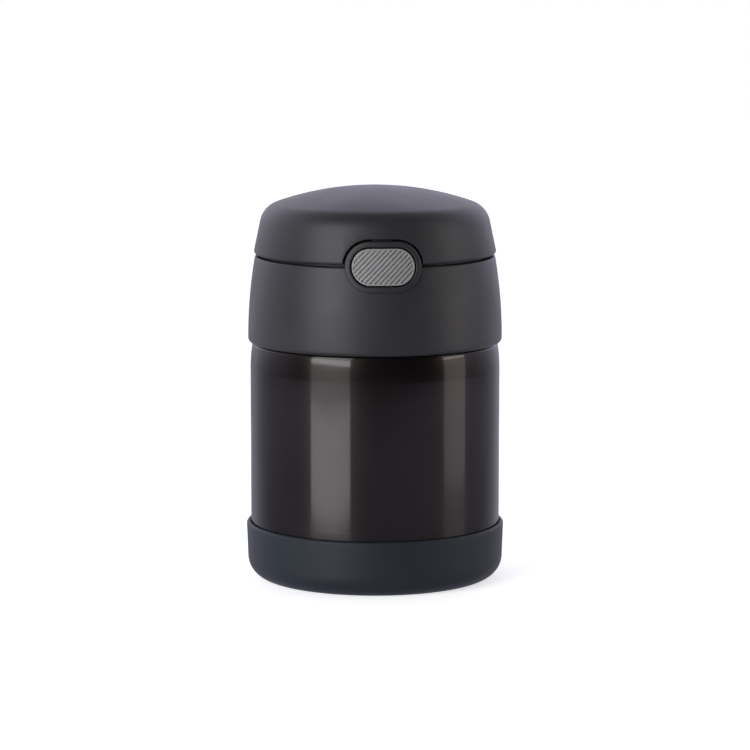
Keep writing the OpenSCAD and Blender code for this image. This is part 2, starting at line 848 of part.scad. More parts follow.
module spoon_handle() {
    lug_in = spoon_barrel_w / 2 + spoon_lug_gap;
    lug_out = handle_w / 2 - handle_edge;
    color(steel_bare)
        difference() {
            union() {
                translate([(handle_end_x + handle_pin_end_x) / 2, spoon_y, handle_z])
                    linear_extrude(handle_t)
                        stadium(handle_pin_end_x - handle_end_x, handle_w);
                for (side = [-1, 1]) {
                    mid = spoon_y + side * (lug_in + lug_out) / 2;
                    half = (lug_out - lug_in) / 2;
                    rod_y(spoon_pin_x, mid - half, mid + half, spoon_pin_z, spoon_barrel_r);
                    block([spoon_pin_x - spoon_barrel_r, mid - half, spoon_pin_z],
                        [spoon_pin_x + spoon_barrel_r, mid + half, handle_z + lap]);
                }
            }
            rod_y(spoon_pin_x, spoon_y - handle_w, spoon_y + handle_w, spoon_pin_z, pin_r);
            block([spoon_pin_x - spoon_barrel_r - spoon_lug_gap, spoon_y - lug_in, handle_z - 1],
                [handle_pin_end_x + 1, spoon_y + lug_in, handle_z + handle_t + 1]);
        }
}

module spoon_pin() {
    half = handle_w / 2 - handle_edge;
    color(steel_bare)
        rod_y(spoon_pin_x, spoon_y - half, spoon_y + half, spoon_pin_z, pin_r);
}

outer_shell();
neck_thread();
inner_flask();
bottom_plate();
getter_pack();
vacuum_seal();
base_boot();
seal_ring();
collar();
lid_core();
core_thread();
insulation_core();
lid_deck();
button_bezel();
hinge_pin();
hinge_spring_lid_end();
button_spring();
button();
latch_slider();
cover_shell();
cover_liner();
hinge_spring_cover_end();
spoon_bowl();
spoon_handle();
spoon_pin();
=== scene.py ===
"""Looks of an insulated food jar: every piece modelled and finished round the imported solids.

Sizes are in millimetres and become metres as they are drawn. The jar's axis is Z, the push
button is at the front (-Y) and the cover's hinge is at the back (+Y).
"""

import json
import math

import bpy
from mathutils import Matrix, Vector


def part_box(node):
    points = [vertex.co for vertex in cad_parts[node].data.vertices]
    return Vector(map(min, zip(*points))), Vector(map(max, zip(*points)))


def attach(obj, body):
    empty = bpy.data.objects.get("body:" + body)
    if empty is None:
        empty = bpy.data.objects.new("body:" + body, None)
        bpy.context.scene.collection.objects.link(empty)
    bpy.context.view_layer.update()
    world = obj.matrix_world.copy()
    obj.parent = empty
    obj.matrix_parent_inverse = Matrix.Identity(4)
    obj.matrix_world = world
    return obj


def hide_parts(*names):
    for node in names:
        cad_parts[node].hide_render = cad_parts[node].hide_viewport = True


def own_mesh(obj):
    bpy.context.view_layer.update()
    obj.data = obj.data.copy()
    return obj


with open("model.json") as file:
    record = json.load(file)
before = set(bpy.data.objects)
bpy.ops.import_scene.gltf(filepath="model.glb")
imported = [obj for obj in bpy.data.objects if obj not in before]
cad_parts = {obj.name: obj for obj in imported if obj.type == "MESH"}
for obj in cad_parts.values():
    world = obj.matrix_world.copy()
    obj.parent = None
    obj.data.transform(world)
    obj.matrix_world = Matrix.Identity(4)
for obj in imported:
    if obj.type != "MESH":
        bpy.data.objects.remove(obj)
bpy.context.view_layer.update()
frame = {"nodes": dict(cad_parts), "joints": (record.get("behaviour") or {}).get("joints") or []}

MM = 0.001
TINY = 1e-6


def size_of(node):
    low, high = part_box(node)
    return low / MM, high / MM


# ---- sizes, from the frame where it gives them ----

shell_low, shell_high = size_of("outer_shell")
SHELL_R = shell_high.x
SHELL_Z = shell_low.z
SHELL_CORNER = 5
SHELL_WALL = 0.5
SHELL_FOOT_LAP = 0.5
SHELL_RINGS = (0.3, 0.5, 0.7, 0.9)
SHOULDER_Z = 74
SWEEP_R = 56
SWEEP_RISE = 8.4
TURN_R = 2
FALL = 12
FILLET_R = 1.5
NECK_R = SHELL_R - 6.6
NECK_TOP = shell_high.z

FLASK_R = SHELL_R - 7.6
FLASK_Z = size_of("inner_flask")[0].z
FLASK_CORNER = 8
FLASK_NECK_R = NECK_R - 2
FLASK_WALL = 0.4
MOUTH_Z = size_of("inner_flask")[1].z
FLASK_TURN_R = 4
FLASK_TURN_Z = MOUTH_Z - 16.5
FLASK_NECK_Z = MOUTH_Z - 12.5

BOOT_R = size_of("base_boot")[1].x
BOOT_H = size_of("base_boot")[1].z
BOOT_RIM_R = 1.1
BOOT_RIM_OUT = 0.43
BOOT_LIP_R = 0.45
BOOT_EDGE_R = 7.68
BOOT_EDGE_TURN = 68.5
BOOT_FIT = 0.1
FOOT_R = 35.5
FOOT_H = 0.8
FOOT_GROOVES = (15, 28)
FOOT_GROOVE_DEPTH = 0.35

COLLAR_Z = size_of("collar")[0].z
COLLAR_TOP = size_of("collar")[1].z
COLLAR_R = size_of("collar")[1].x
COLLAR_EDGE = 1.5
COLLAR_TOP_R = 0.63
COLLAR_LEAN = 9.75
COLLAR_WALL = 1.6
CORE_Z = COLLAR_Z + 2.9
CORE_TOP = size_of("lid_core")[1].z
CORE_R = size_of("lid_core")[1].x
CORE_IN_R = CORE_R - 1.3
PLUG_R = FLASK_NECK_R - 2.2
PLUG_Z = MOUTH_Z - 12.5
CEILING = MOUTH_Z + 1.6

THREAD_LEAD = 8
THREAD_SWEEP = 300
NECK_RIDGE_Z = MOUTH_Z - 10.2

DECK_R = size_of("lid_deck")[1].x
DECK_FLOOR = CORE_TOP + 1.6
DECK_RIM_R = DECK_R - 0.7
DECK_RIM_Z = COLLAR_TOP + 2.4
DECK_IN_R = DECK_R - 2.2
STEP_Z = COLLAR_TOP - 0.83

COVER_Z = COLLAR_TOP + 0.9
COVER_FOOT_Z = COVER_Z - 0.25
COVER_TOP = size_of("cover_shell")[1].z
COVER_R = SHELL_R - 1.415
COVER_EDGE = 1.1
COVER_LEAN = 12.13
COVER_WALL = 1.6
COVER_TURN_Z = COVER_Z + 11.44
COVER_SHOULDER = 8.49
LINER_GAP = 2.6
LINER_WALL = 1.2
LINER_Z = DECK_RIM_Z + 0.6

PIVOT = next(Vector(j["pos_m"]) for j in frame["joints"] if j["name"] == "cover_hinge") / MM
NOTCH_X = 11.7
NOTCH_Y = 30
SHELF_Z = COLLAR_TOP - 1.8
SHELF_T = 1.6
LUG_X = (7.6, 11)
KNUCKLE_X = (3.9, 7.3)
WIRE_R = 0.3
HINGE_EYE_R = 2.2

BUTTON_Z = COLLAR_TOP
OVAL_Z = BUTTON_Z + 0.24
BUTTON_W = 21.5
BUTTON_H = 12.45
BUTTON_FIT = 0.48
BUTTON_BACK = -39
RING_W = 1.9
SEAM_GAP = 0.7
RING_IN_W = BUTTON_W + 2 * BUTTON_FIT
RING_IN_H = BUTTON_H + 2 * BUTTON_FIT
RING_OUT_W = RING_IN_W + 2 * RING_W
RING_OUT_H = RING_IN_H + 2 * RING_W
RING_BACK = -36.6
FACE_R = COVER_R + 0.45
FACE_SLOPE = 0.136
FLAT_FRONT = -(FACE_R + FACE_SLOPE * RING_OUT_H / 2)
BOW = 4.0
CATCH_Y = -38
TONGUE_Y = CATCH_Y + 2.4
BAR_Y = TONGUE_Y + 1.6
BOX_BACK = size_of("button_bezel")[1].y

SPOON_Y = 4
SPOON_RIM = DECK_FLOOR + 9.1
BOWL_X = -13
BALL_R = 20
BOWL_DEPTH = 8
TIP_X = 1
TIP_SIZE = 0.75
SPOON_PIN_X = 30
SPOON_PIN_Z = SPOON_RIM + 0.9
HANDLE_Z = SPOON_RIM + 2.1
HANDLE_W = 11
BARREL_R = 2
BARREL_HALF = 2.6
FORK_HALF = 4.9


# ---- hands: selecting, shaping and finishing ----

def settle():
    """Leaves edit mode and clears the selection, so that the next operator acts on nothing old."""
    if bpy.context.object and bpy.context.object.mode != "OBJECT":
        bpy.ops.object.mode_set(mode="OBJECT")
    bpy.ops.object.select_all(action="DESELECT")


def take(piece):
    settle()
    piece.select_set(True)
    bpy.context.view_layer.objects.active = piece


def named(name):
    """Names the primitive that was just added, and its mesh."""
    piece = bpy.context.object
    piece.name = name
    piece.data.name = name
    return piece


def resume(kind="VERT"):
    bpy.ops.object.mode_set(mode="EDIT")
    bpy.ops.mesh.select_mode(type=kind)


def edit(kind="VERT"):
    resume(kind)
    bpy.ops.mesh.select_all(action="DESELECT")


def done():
    bpy.ops.object.mode_set(mode="OBJECT")


def clear_choice(mesh):
    for group in (mesh.vertices, mesh.edges, mesh.polygons):
        group.foreach_set("select", [False] * len(group))


def choose_all():
    bpy.ops.mesh.select_all(action="SELECT")


def face_outwards():
    choose_all()
    bpy.ops.mesh.normals_make_consistent(inside=False)


def weld():
    choose_all()
    bpy.ops.mesh.remove_doubles(threshold=TINY)


def pull(step):
    """Extrudes what is selected by a step."""
    bpy.ops.mesh.extrude_region_move(TRANSFORM_OT_translate={"value": step})


def choose(piece, test):
    """In edit mode, selects the vertices whose place (in millimetres) passes the test."""
    done()
    clear_choice(piece.data)
    piece.data.vertices.foreach_set("select", [bool(test(v.co / MM)) for v in piece.data.vertices])
    resume()


def choose_faces(piece, test):
    """In edit mode, selects the faces whose middle (in millimetres) and normal pass the test."""
    done()
    clear_choice(piece.data)
    flags = [bool(test(f.center / MM, f.normal)) for f in piece.data.polygons]
    piece.data.polygons.foreach_set("select", flags)
    resume("FACE")


def choose_numbers(piece, numbers):
    done()
    clear_choice(piece.data)
    for number in numbers:
        piece.data.vertices[number].select = True
    resume()


def chosen_numbers(piece):
    done()
    numbers = [v.index for v in piece.data.vertices if v.select]
    bpy.ops.object.mode_set(mode="EDIT")
    return numbers


def place(piece):
    """Moves the object's place and turn into its mesh."""
    take(piece)
    bpy.ops.object.transform_apply(location=True, rotation=True, scale=True)


def smooth(piece, angle=35):
    take(piece)
    bpy.ops.object.shade_smooth_by_angle(angle=math.radians(angle))


def apply_modifier(piece, kind, **settings):
    take(piece)
    modifier = piece.modifiers.new(kind.title(), kind)
    for key, value in settings.items():
        setattr(modifier, key, value)
    bpy.ops.object.modifier_apply(modifier=modifier.name)


def soften(piece, width, segments=3, angle=40):
    """Rounds every edge sharper than the angle."""
    apply_modifier(piece, "BEVEL", width=width * MM, segments=segments, limit_method="ANGLE",
        angle_limit=math.radians(angle), miter_outer="MITER_ARC", use_clamp_overlap=True)
    return piece


def carve(piece, cutter, operation="DIFFERENCE"):
    """Cuts, joins or crosses a piece with a cutter, which is used up."""
    apply_modifier(piece, "BOOLEAN", object=cutter, operation=operation, solver="EXACT")
    bpy.data.objects.remove(cutter)
    return piece


def round_cut(piece, width, test, segments=3, angle=40):
    """Rounds the sharp edges that a cut left, where the place of an edge's middle passes the test."""
    take(piece)
    edit("EDGE")
    bpy.ops.mesh.edges_select_sharp(sharpness=math.radians(angle))
    done()
    mesh = piece.data
    sharp = [e.index for e in mesh.edges if e.select]
    clear_choice(mesh)
    for number in sharp:
        ends = [mesh.vertices[v].co for v in mesh.edges[number].vertices]
        mesh.edges[number].select = bool(test((ends[0] + ends[1]) / 2 / MM))
    resume("EDGE")
    bpy.ops.mesh.bevel(offset=width * MM, segments=segments, profile=0.5, clamp_overlap=False)
    done()


def fuse(pieces):
    """Joins separate shapes into the first one."""
    take(pieces[0])
    for piece in pieces[1:]:
        piece.select_set(True)
    bpy.ops.object.join()
    return pieces[0]


def copy_of(piece, name):
    take(piece)
    bpy.ops.object.duplicate()
    return named(name)


# ---- shapes ----

def both_sides(near, far, middle=0):
    """The spans from near to far on the two sides of a middle."""
    return [sorted((middle + side * near, middle + side * far)) for side in (-1, 1)]


def arc(centre, radius, start, end, steps=10):
    angles = [math.radians(start + (end - start) * i / steps) for i in range(steps + 1)]
    return [(centre[0] + radius * math.cos(a), centre[1] + radius * math.sin(a)) for a in angles]


def eased(corners, steps=5):
    """Outline whose corners are rounded where a third number gives their radius."""
    points = []
    for number, (across, up, *ease) in enumerate(corners):
        if not ease:
            points.append((across, up))
            continue
        here = Vector((across, up))
        before = Vector(corners[number - 1][:2]) - here
        after = Vector(corners[(number + 1) % len(corners)][:2]) - here
        reach = ease[0] / math.tan(before.angle(after) / 2)
        reach = min(reach, 0.49 * before.length, 0.49 * after.length)
        start = here + before.normalized() * reach
        end = here + after.normalized() * reach
        for step in range(steps + 1):
            share = step / steps
            point = start * (1 - share) ** 2 + here * 2 * share * (1 - share) + end * share ** 2
            points.append((point.x, point.y))
    return points


def drawn(name, points):
    """A closed line through points, drawn by extruding one vertex, left selected in edit mode."""
    settle()
    bpy.ops.mesh.primitive_plane_add(size=MM)
    piece = named(name)
    edit()
    choose_all()
    bpy.ops.mesh.merge(type="CENTER")
    here = Vector(points[0])
    bpy.ops.transform.translate(value=here * MM)
    for point in list(points[1:]) + [points[0]]:
        step = (Vector(point) - here) * MM
        pull(step)
        here = Vector(point)
    weld()
    return piece


def turned(name, outline, steps=192, centre=(0, 0)):
    """A wall turned about an upright axis from its outline of (radius, height)."""
    piece = drawn(name, [(centre[0] + r, centre[1], z) for r, z in outline])
    middle = (centre[0] * MM, centre[1] * MM, 0)
    bpy.ops.mesh.spin(steps=steps, angle=2 * math.pi, axis=(0, 0, 1), center=middle)
    weld()
    bpy.ops.mesh.delete_loose()
    face_outwards()
    done()
    return piece


def slab(name, outline, low_x, high_x):
    """A plate between two depths in X from its outline of (y, z)."""
    piece = drawn(name, [(low_x, y, z) for y, z in outline])
    bpy.ops.mesh.edge_face_add()
    pull(((high_x - low_x) * MM, 0, 0))
    face_outwards()
    done()
    return piece


def brick(name, low, high):
    settle()
    low, high = Vector(low) * MM, Vector(high) * MM
    bpy.ops.mesh.primitive_cube_add(size=1, location=(low + high) / 2, scale=high - low)
    piece = named(name)
    place(piece)
    return piece


def cut_box(piece, low, high):
    return carve(piece, brick("cutter", low, high))


def rod(name, start, end, radius, sides=48):
    """A round bar between two points on one axis."""
    settle()
    start, end = Vector(start) * MM, Vector(end) * MM
    turn = (end - start).to_track_quat("Z", "Y").to_euler()
    bpy.ops.mesh.primitive_cylinder_add(vertices=sides, radius=radius * MM, depth=(end - start).length,
        location=(start + end) / 2, rotation=turn)
    piece = named(name)
    place(piece)
    return piece


def ball(name, x, radius, height, rings=96):
    """A ball on the spoon's middle line, with its centre at a height."""
    settle()
    bpy.ops.mesh.primitive_uv_sphere_add(segments=96, ring_count=rings, radius=radius * MM,
        location=(x * MM, SPOON_Y * MM, height * MM))
    piece = named(name)
    place(piece)
    return piece


def eye(name, outline, low_x, high_x, bore):
    """A hinge eye with its web: a slab with rounded ends, bored for the pin."""
    piece = soften(slab(name, outline, low_x, high_x), 0.2, 3, 50)
    return carve(piece, rod("cutter", (low_x - 1, PIVOT.y, PIVOT.z), (high_x + 1, PIVOT.y, PIVOT.z), bore))


def wound(name, section, middle, axis, angles, rises, leg=None):
    """A section wound round an axis through middle, one small turn and rise after another."""
    piece = drawn(name, section)
    start = chosen_numbers(piece)
    for angle, rise in zip(angles, rises):
        bpy.ops.mesh.spin(steps=1, angle=math.radians(angle), center=Vector(middle) * MM, axis=axis)
        bpy.ops.transform.translate(value=Vector(axis) * rise * MM)
    if leg:
        pull(Vector(leg) * MM)
    bpy.ops.mesh.edge_face_add()
    choose_numbers(piece, start)
    bpy.ops.mesh.edge_face_add()
    face_outwards()
    done()
    return piece


def stadium(name, centre, radius, reach, sides, turn, fill="NOTHING"):
    """A circle with its two halves moved apart along X, left in edit mode."""
    settle()
    bpy.ops.mesh.primitive_circle_add(vertices=sides, radius=radius * MM, fill_type=fill,
        location=[c * MM for c in centre], rotation=turn)
    piece = named(name)
    place(piece)
    halves = [[v.index for v in piece.data.vertices if side * (v.co.x / MM - centre[0]) > 0]
        for side in (-1, 1)]
    edit()
    for side, half in zip((-1, 1), halves):
        choose_numbers(piece, half)
        bpy.ops.transform.translate(value=(side * reach * MM, 0, 0))
    return piece


def oval_line(name, width, height, depth, sides=96, cuts=10):
    """A stadium-shaped line about the button's centre, left selected in edit mode."""
    reach = (width - height) / 2
    turn = (math.pi / 2, math.pi / sides, 0)
    piece = stadium(name, (0, depth, OVAL_Z), height / 2, reach, sides, turn)
    choose(piece, lambda co: abs(abs(co.x) - reach) < height * math.pi / sides * 0.6)
    bpy.ops.mesh.subdivide(number_cuts=cuts)
    choose_all()
    return piece


def oval_walls(name, width, height, profile, capped=False):
    """Stadium-shaped walls through a profile of (inset, depth), capped or closed on themselves."""
    piece = oval_line(name, width - 2 * profile[0][0], height - 2 * profile[0][0], profile[0][1])
    first = chosen_numbers(piece)
    reach = (width - height) / 2
    inset, depth = profile[0]
    for next_inset, next_depth in profile[1:]:
        step = (0, (next_depth - depth) * MM, 0)
        pull(step)
        fresh = chosen_numbers(piece)
        scale = (height - 2 * next_inset) / (height - 2 * inset)
        for side in (-1, 1):
            if abs(scale - 1) > TINY:
                choose_numbers(piece, [n for n in fresh if side * piece.data.vertices[n].co.x > 0])
                bpy.ops.transform.resize(value=(scale, 1, scale),
                    center_override=(side * reach * MM, 0, OVAL_Z * MM))
        choose_numbers(piece, fresh)
        inset, depth = next_inset, next_depth
    last = chosen_numbers(piece)
    if capped:
        bpy.ops.mesh.edge_face_add()
        choose_numbers(piece, first)
        bpy.ops.mesh.edge_face_add()
    else:
        choose_numbers(piece, first + last)
        bpy.ops.mesh.bridge_edge_loops()
    face_outwards()
    done()
    return piece


def oval_plug(name, width, height, front, back):
    return oval_walls(name, width, height, [(0, front), (0, back)], capped=True)


def seam_cutter(gap, back):
    """Cutter for the hole round the button's ring, wider than the ring by gap."""
    return oval_plug("cutter", RING_OUT_W + 2 * gap, RING_OUT_H + 2 * gap, -SHELL_R - 4, back)


def bow_front(piece, zone=2.5, pitch=0.8):
    """Slices a flat-fronted piece across and lays its front on the cone of the lid's face."""
    take(piece)
    edit()
    reach = int(RING_OUT_W / 2 / pitch)
    for number in range(-reach, reach + 1):
        choose_all()
        bpy.ops.mesh.bisect(plane_co=((number + 0.013) * pitch * MM, 0, 0), plane_no=(1, 0, 0))
    done()
    group = piece.vertex_groups.new(name="bow")
    for vertex in piece.data.vertices:
        x, y, z = vertex.co / MM
        if y < FLAT_FRONT + zone:
            radius = FACE_R - FACE_SLOPE * (z - BUTTON_Z)
            depth = -math.sqrt(radius * radius - x * x) - FLAT_FRONT
            group.add([vertex.index], depth / BOW, "REPLACE")
    apply_modifier(piece, "DISPLACE", direction="Y", vertex_group="bow", strength=BOW * MM, mid_level=0)
    piece.vertex_groups.clear()
    return piece


# ---- finishes ----

def new_finish(name, colour, roughness, metallic=0.0, specular=0.5):
    material = bpy.data.materials.new(name)
    material.use_nodes = True
    shader = material.node_tree.nodes["Principled BSDF"]
    shader.inputs["Base Color"].default_value = (*colour, 1)
    shader.inputs["Roughness"].default_value = roughness
    shader.inputs["Metallic"].default_value = metallic
    shader.inputs["Specular IOR Level"].default_value = specular
    return material, material.node_tree.nodes, material.node_tree.links, shader


def noise(nodes, links, scale, stretch=(1, 1, 1), detail=4.0, rough=0.55):
    """Noise on the piece's own coordinates; scale is features per metre, stretch thins them."""
    coordinate = nodes.new("ShaderNodeTexCoord")
    mapping = nodes.new("ShaderNodeMapping")
    mapping.inputs["Scale"].default_value = stretch
    texture = nodes.new("ShaderNodeTexNoise")
    texture.inputs["Scale"].default_value = scale
    texture.inputs["Detail"].default_value = detail
    texture.inputs["Roughness"].default_value = rough
    links.new(coordinate.outputs["Object"], mapping.inputs["Vector"])
    links.new(mapping.outputs["Vector"], texture.inputs["Vector"])
    return texture.outputs["Fac"]


def ranged(nodes, links, value, low, high, from_low=0.3, from_high=0.7):
    span = nodes.new("ShaderNodeMapRange")
    span.inputs["From Min"].default_value = from_low
    span.inputs["From Max"].default_value = from_high
    span.inputs["To Min"].default_value = low
    span.inputs["To Max"].default_value = high
    links.new(value, span.inputs["Value"])
    return span.outputs["Result"]


def tinted(nodes, links, value, dark, light):
    mix = nodes.new("ShaderNodeMix")
    mix.data_type = "RGBA"
    mix.inputs["A"].default_value = (*dark, 1)
    mix.inputs["B"].default_value = (*light, 1)
    links.new(value, mix.inputs["Factor"])
    return mix.outputs["Result"]


def bumped(nodes, links, height, strength, depth):
    bump = nodes.new("ShaderNodeBump")
    bump.inputs["Strength"].default_value = strength
    bump.inputs["Distance"].default_value = depth * MM
    links.new(height, bump.inputs["Height"])
    return bump.outputs["Normal"]


def clouded(nodes, links, shader, cloud, colour, low, high):
    """Lets the base colour drift between two shades of itself."""
    dark, light = (tuple(min(1.0, c * factor) for c in colour) for factor in (low, high))
    tint = tinted(nodes, links, ranged(nodes, links, cloud, 0, 1), dark, light)
    links.new(tint, shader.inputs["Base Color"])


def moulded(name, colour, roughness, grain=0.22, strength=0.25, specular=0.45):
    """Moulded plastic: fine spark-eroded grain, faint flow marks and slightly uneven gloss."""
    material, nodes, links, shader = new_finish(name, colour, roughness, specular=specular)
    cloud = noise(nodes, links, 45, detail=3)
    clouded(nodes, links, shader, cloud, colour, 0.93, 1.07)
    links.new(ranged(nodes, links, cloud, roughness - 0.04, roughness + 0.04), shader.inputs["Roughness"])
    fine = noise(nodes, links, 1 / (grain * MM), detail=2)
    links.new(bumped(nodes, links, fine, strength, 0.02), shader.inputs["Normal"])
    return material


def brushed(name, colour, roughness, stretch, strength=0.15):
    """Bare steel with fine polishing lines across the stretched way."""
    material, nodes, links, shader = new_finish(name, colour, roughness, metallic=1.0)
    lines = noise(nodes, links, 1, stretch=stretch, detail=5, rough=0.65)
    cloud = noise(nodes, links, 60, detail=2)
    links.new(ranged(nodes, links, lines, roughness - 0.07, roughness + 0.09), shader.inputs["Roughness"])
    clouded(nodes, links, shader, cloud, colour, 0.94, 1.04)
    links.new(bumped(nodes, links, lines, strength, 0.01), shader.inputs["Normal"])
    return material


def lacquered_steel():
    """Brushed steel under a dark translucent lacquer: brushing shows through a clear glossy coat."""
    colour = (0.021, 0.0172, 0.0165)
    material, nodes, links, shader = new_finish("lacquered_steel", colour, 0.32, metallic=0.85)
    lines = noise(nodes, links, 1, stretch=(18, 18, 5200), detail=6, rough=0.7)
    cloud = noise(nodes, links, 30, detail=2)
    links.new(ranged(nodes, links, lines, 0.25, 0.31), shader.inputs["Roughness"])
    clouded(nodes, links, shader, cloud, colour, 0.85, 1.15)
    links.new(bumped(nodes, links, lines, 0.02, 0.01), shader.inputs["Normal"])
    shader.inputs["Specular Tint"].default_value = (0.08, 0.08, 0.09, 1)
    shader.inputs["Anisotropic"].default_value = 0.4
    tangent = nodes.new("ShaderNodeTangent")
    tangent.direction_type = "RADIAL"
    tangent.axis = "Z"
    links.new(tangent.outputs["Tangent"], shader.inputs["Tangent"])
    shader.inputs["Coat Weight"].default_value = 0.55
    shader.inputs["Coat Roughness"].default_value = 0.08
    shader.inputs["Coat IOR"].default_value = 1.45
    return material


def silicone():
    material, nodes, links, shader = new_finish("seal_silicone", (0.62, 0.62, 0.6), 0.42, specular=0.4)
    cloud = noise(nodes, links, 300, detail=3)
    links.new(bumped(nodes, links, cloud, 0.12, 0.02), shader.inputs["Normal"])
    shader.inputs["Subsurface Weight"].default_value = 0.35
    shader.inputs["Subsurface Radius"].default_value = (0.002, 0.002, 0.002)
    shader.inputs["Subsurface Scale"].default_value = 1.0
    return material


def foam():
    material, nodes, links, shader = new_finish("insulation_foam", (0.78, 0.75, 0.66), 0.9, specular=0.2)
    cells = nodes.new("ShaderNodeTexVoronoi")
    cells.inputs["Scale"].default_value = 1400
    coordinate = nodes.new("ShaderNodeTexCoord")
    links.new(coordinate.outputs["Object"], cells.inputs["Vector"])
    links.new(bumped(nodes, links, cells.outputs["Distance"], 0.6, 0.15), shader.inputs["Normal"])
    return material


LID = moulded("lid_plastic", (0.025, 0.0253, 0.027), 0.47, specular=0.45)
BOOT = moulded("boot_plastic", (0.0135, 0.0195, 0.026), 0.58, grain=0.28, specular=0.38)
LINER = moulded("liner_plastic", (0.05, 0.051, 0.056), 0.42)
INNER = moulded("inner_plastic", (0.1, 0.1, 0.105), 0.38, strength=0.12)
LATCH = moulded("latch_plastic", (0.02, 0.02, 0.022), 0.4)
BUTTON = moulded("button_plastic", (0.32, 0.32, 0.315), 0.45, grain=0.15, strength=0.05)
LACQUER = lacquered_steel()
STEEL_ROUND = brushed("turned_steel", (0.62, 0.61, 0.6), 0.28, (25, 25, 3500))
STEEL_SPOON = brushed("polished_steel", (0.68, 0.67, 0.66), 0.2, (60, 2600, 400), strength=0.06)
WIRE = brushed("drawn_wire", (0.5, 0.5, 0.52), 0.25, (900, 900, 900), strength=0.05)
SILICONE = silicone()
FOAM = foam()


def finish_piece(piece, body, material, nodes, angle=35):
    smooth(piece, angle)
    piece.data.materials.clear()
    piece.data.materials.append(material)
    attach(piece, body)
    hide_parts(*nodes)


def dress_node(name, material):
    """A solid of the frame whose own shape is right: it only gets its finish."""
    node = frame["nodes"][name]
    node.data.materials.clear()
    node.data.materials.append(material)


# ---- steel body and boot ----

def shell_lines(inset):
    """Outer shell's line from its foot to the shoulder, and on to the neck's top, drawn in by inset."""
    sweep = math.degrees(math.asin(SWEEP_RISE / SWEEP_R))
    tilt, fall = math.radians(sweep), math.radians(FALL)
    sweep_c = Vector((SHELL_R - SWEEP_R, SHOULDER_Z))
    turn_c = sweep_c + (SWEEP_R - TURN_R) * Vector((math.cos(tilt), math.sin(tilt)))
    turn_end = turn_c + TURN_R * Vector((math.sin(fall), math.cos(fall)))
    fillet_x = NECK_R + FILLET_R * (1 - math.sin(fall))
    fillet_z = turn_end.y + (turn_end.x - fillet_x) * math.tan(fall) + FILLET_R * math.cos(fall)
    body = [(SHELL_R - SHELL_CORNER - SHELL_FOOT_LAP, SHELL_Z + inset)]
    body += arc((SHELL_R - SHELL_CORNER, SHELL_Z + SHELL_CORNER), SHELL_CORNER - inset, -90, 0, 8)
    body += [(SHELL_R - inset, SHOULDER_Z * share) for share in SHELL_RINGS]
    body += arc(sweep_c, SWEEP_R - inset, 0, sweep, 12)
    body += arc(turn_c, TURN_R - inset, sweep, 90 - FALL, 10)
    neck = arc((NECK_R + FILLET_R, fillet_z), FILLET_R + inset, 270 - FALL, 180, 8)
    neck += [(NECK_R - inset, NECK_TOP)]
    return body, neck


def build_body():
    body, neck = shell_lines(0)
    body_in, neck_in = shell_lines(SHELL_WALL)
    shell = turned("steel_body", body + body_in[::-1], 256)
    finish_piece(shell, "jar", LACQUER, ["outer_shell"])
    ring = turned("steel_neck", [body[-1]] + neck + neck_in[::-1] + [body_in[-1]], 256)
    finish_piece(ring, "jar", STEEL_ROUND, ["outer_shell"])


def build_flask():
    def wall(inset):
        line = [(0, FLASK_Z + inset)]
        line += arc((FLASK_R - FLASK_CORNER, FLASK_Z + FLASK_CORNER), FLASK_CORNER - inset, -90, 0, 12)
        line += arc((FLASK_R - FLASK_TURN_R, FLASK_TURN_Z), FLASK_TURN_R - inset, 0, 12, 4)
        return line + [(FLASK_NECK_R - inset, FLASK_NECK_Z)]

    lip = 0.25
    rim = [(FLASK_NECK_R, NECK_TOP), (NECK_R - lip, NECK_TOP)]
    rim += arc((NECK_R - lip, NECK_TOP + lip), lip, -90, 90, 8)
    rim += arc((FLASK_NECK_R - FLASK_WALL + lip, MOUTH_Z - lip), lip, 90, 180, 6)
    flask = turned("inner_wall", wall(0) + rim + wall(FLASK_WALL)[::-1])
    finish_piece(flask, "jar", STEEL_ROUND, ["inner_flask"])


def build_boot():
    side_r = BOOT_R - BOOT_RIM_OUT
    groove = FOOT_H - FOOT_GROOVE_DEPTH
    foot = [(0, FOOT_H)]
    for middle in FOOT_GROOVES:
        foot += [(middle - 1, FOOT_H), (middle - 0.6, groove), (middle + 0.6, groove), (middle + 1, FOOT_H)]
    step = [(FOOT_R - 3, FOOT_H), (FOOT_R, FOOT_H, 0.3), (FOOT_R + FOOT_H, 0, 0.3), (FOOT_R + 3, 0)]
    foot += eased(step)[:-1]
    edge_c = (side_r - BOOT_EDGE_R, BOOT_EDGE_R * math.sin(math.radians(BOOT_EDGE_TURN)))
    outline = foot + arc(edge_c, BOOT_EDGE_R, -BOOT_EDGE_TURN, 0, 20)
    outline += arc((BOOT_R - BOOT_RIM_R, BOOT_H - BOOT_RIM_R), BOOT_RIM_R, 0, 90, 10)
    outline += arc((SHELL_R + (BOOT_FIT + BOOT_LIP_R), BOOT_H - BOOT_LIP_R), BOOT_LIP_R, 90, 180, 5)
    corner_c = (SHELL_R - SHELL_CORNER, SHELL_Z + SHELL_CORNER)
    outline += arc(corner_c, SHELL_CORNER + BOOT_FIT, 0, -90, 8)
    outline += [(0, SHELL_Z - BOOT_FIT)]
    boot = turned("boot", outline, 256)
    finish_piece(boot, "jar", BOOT, ["base_boot"])


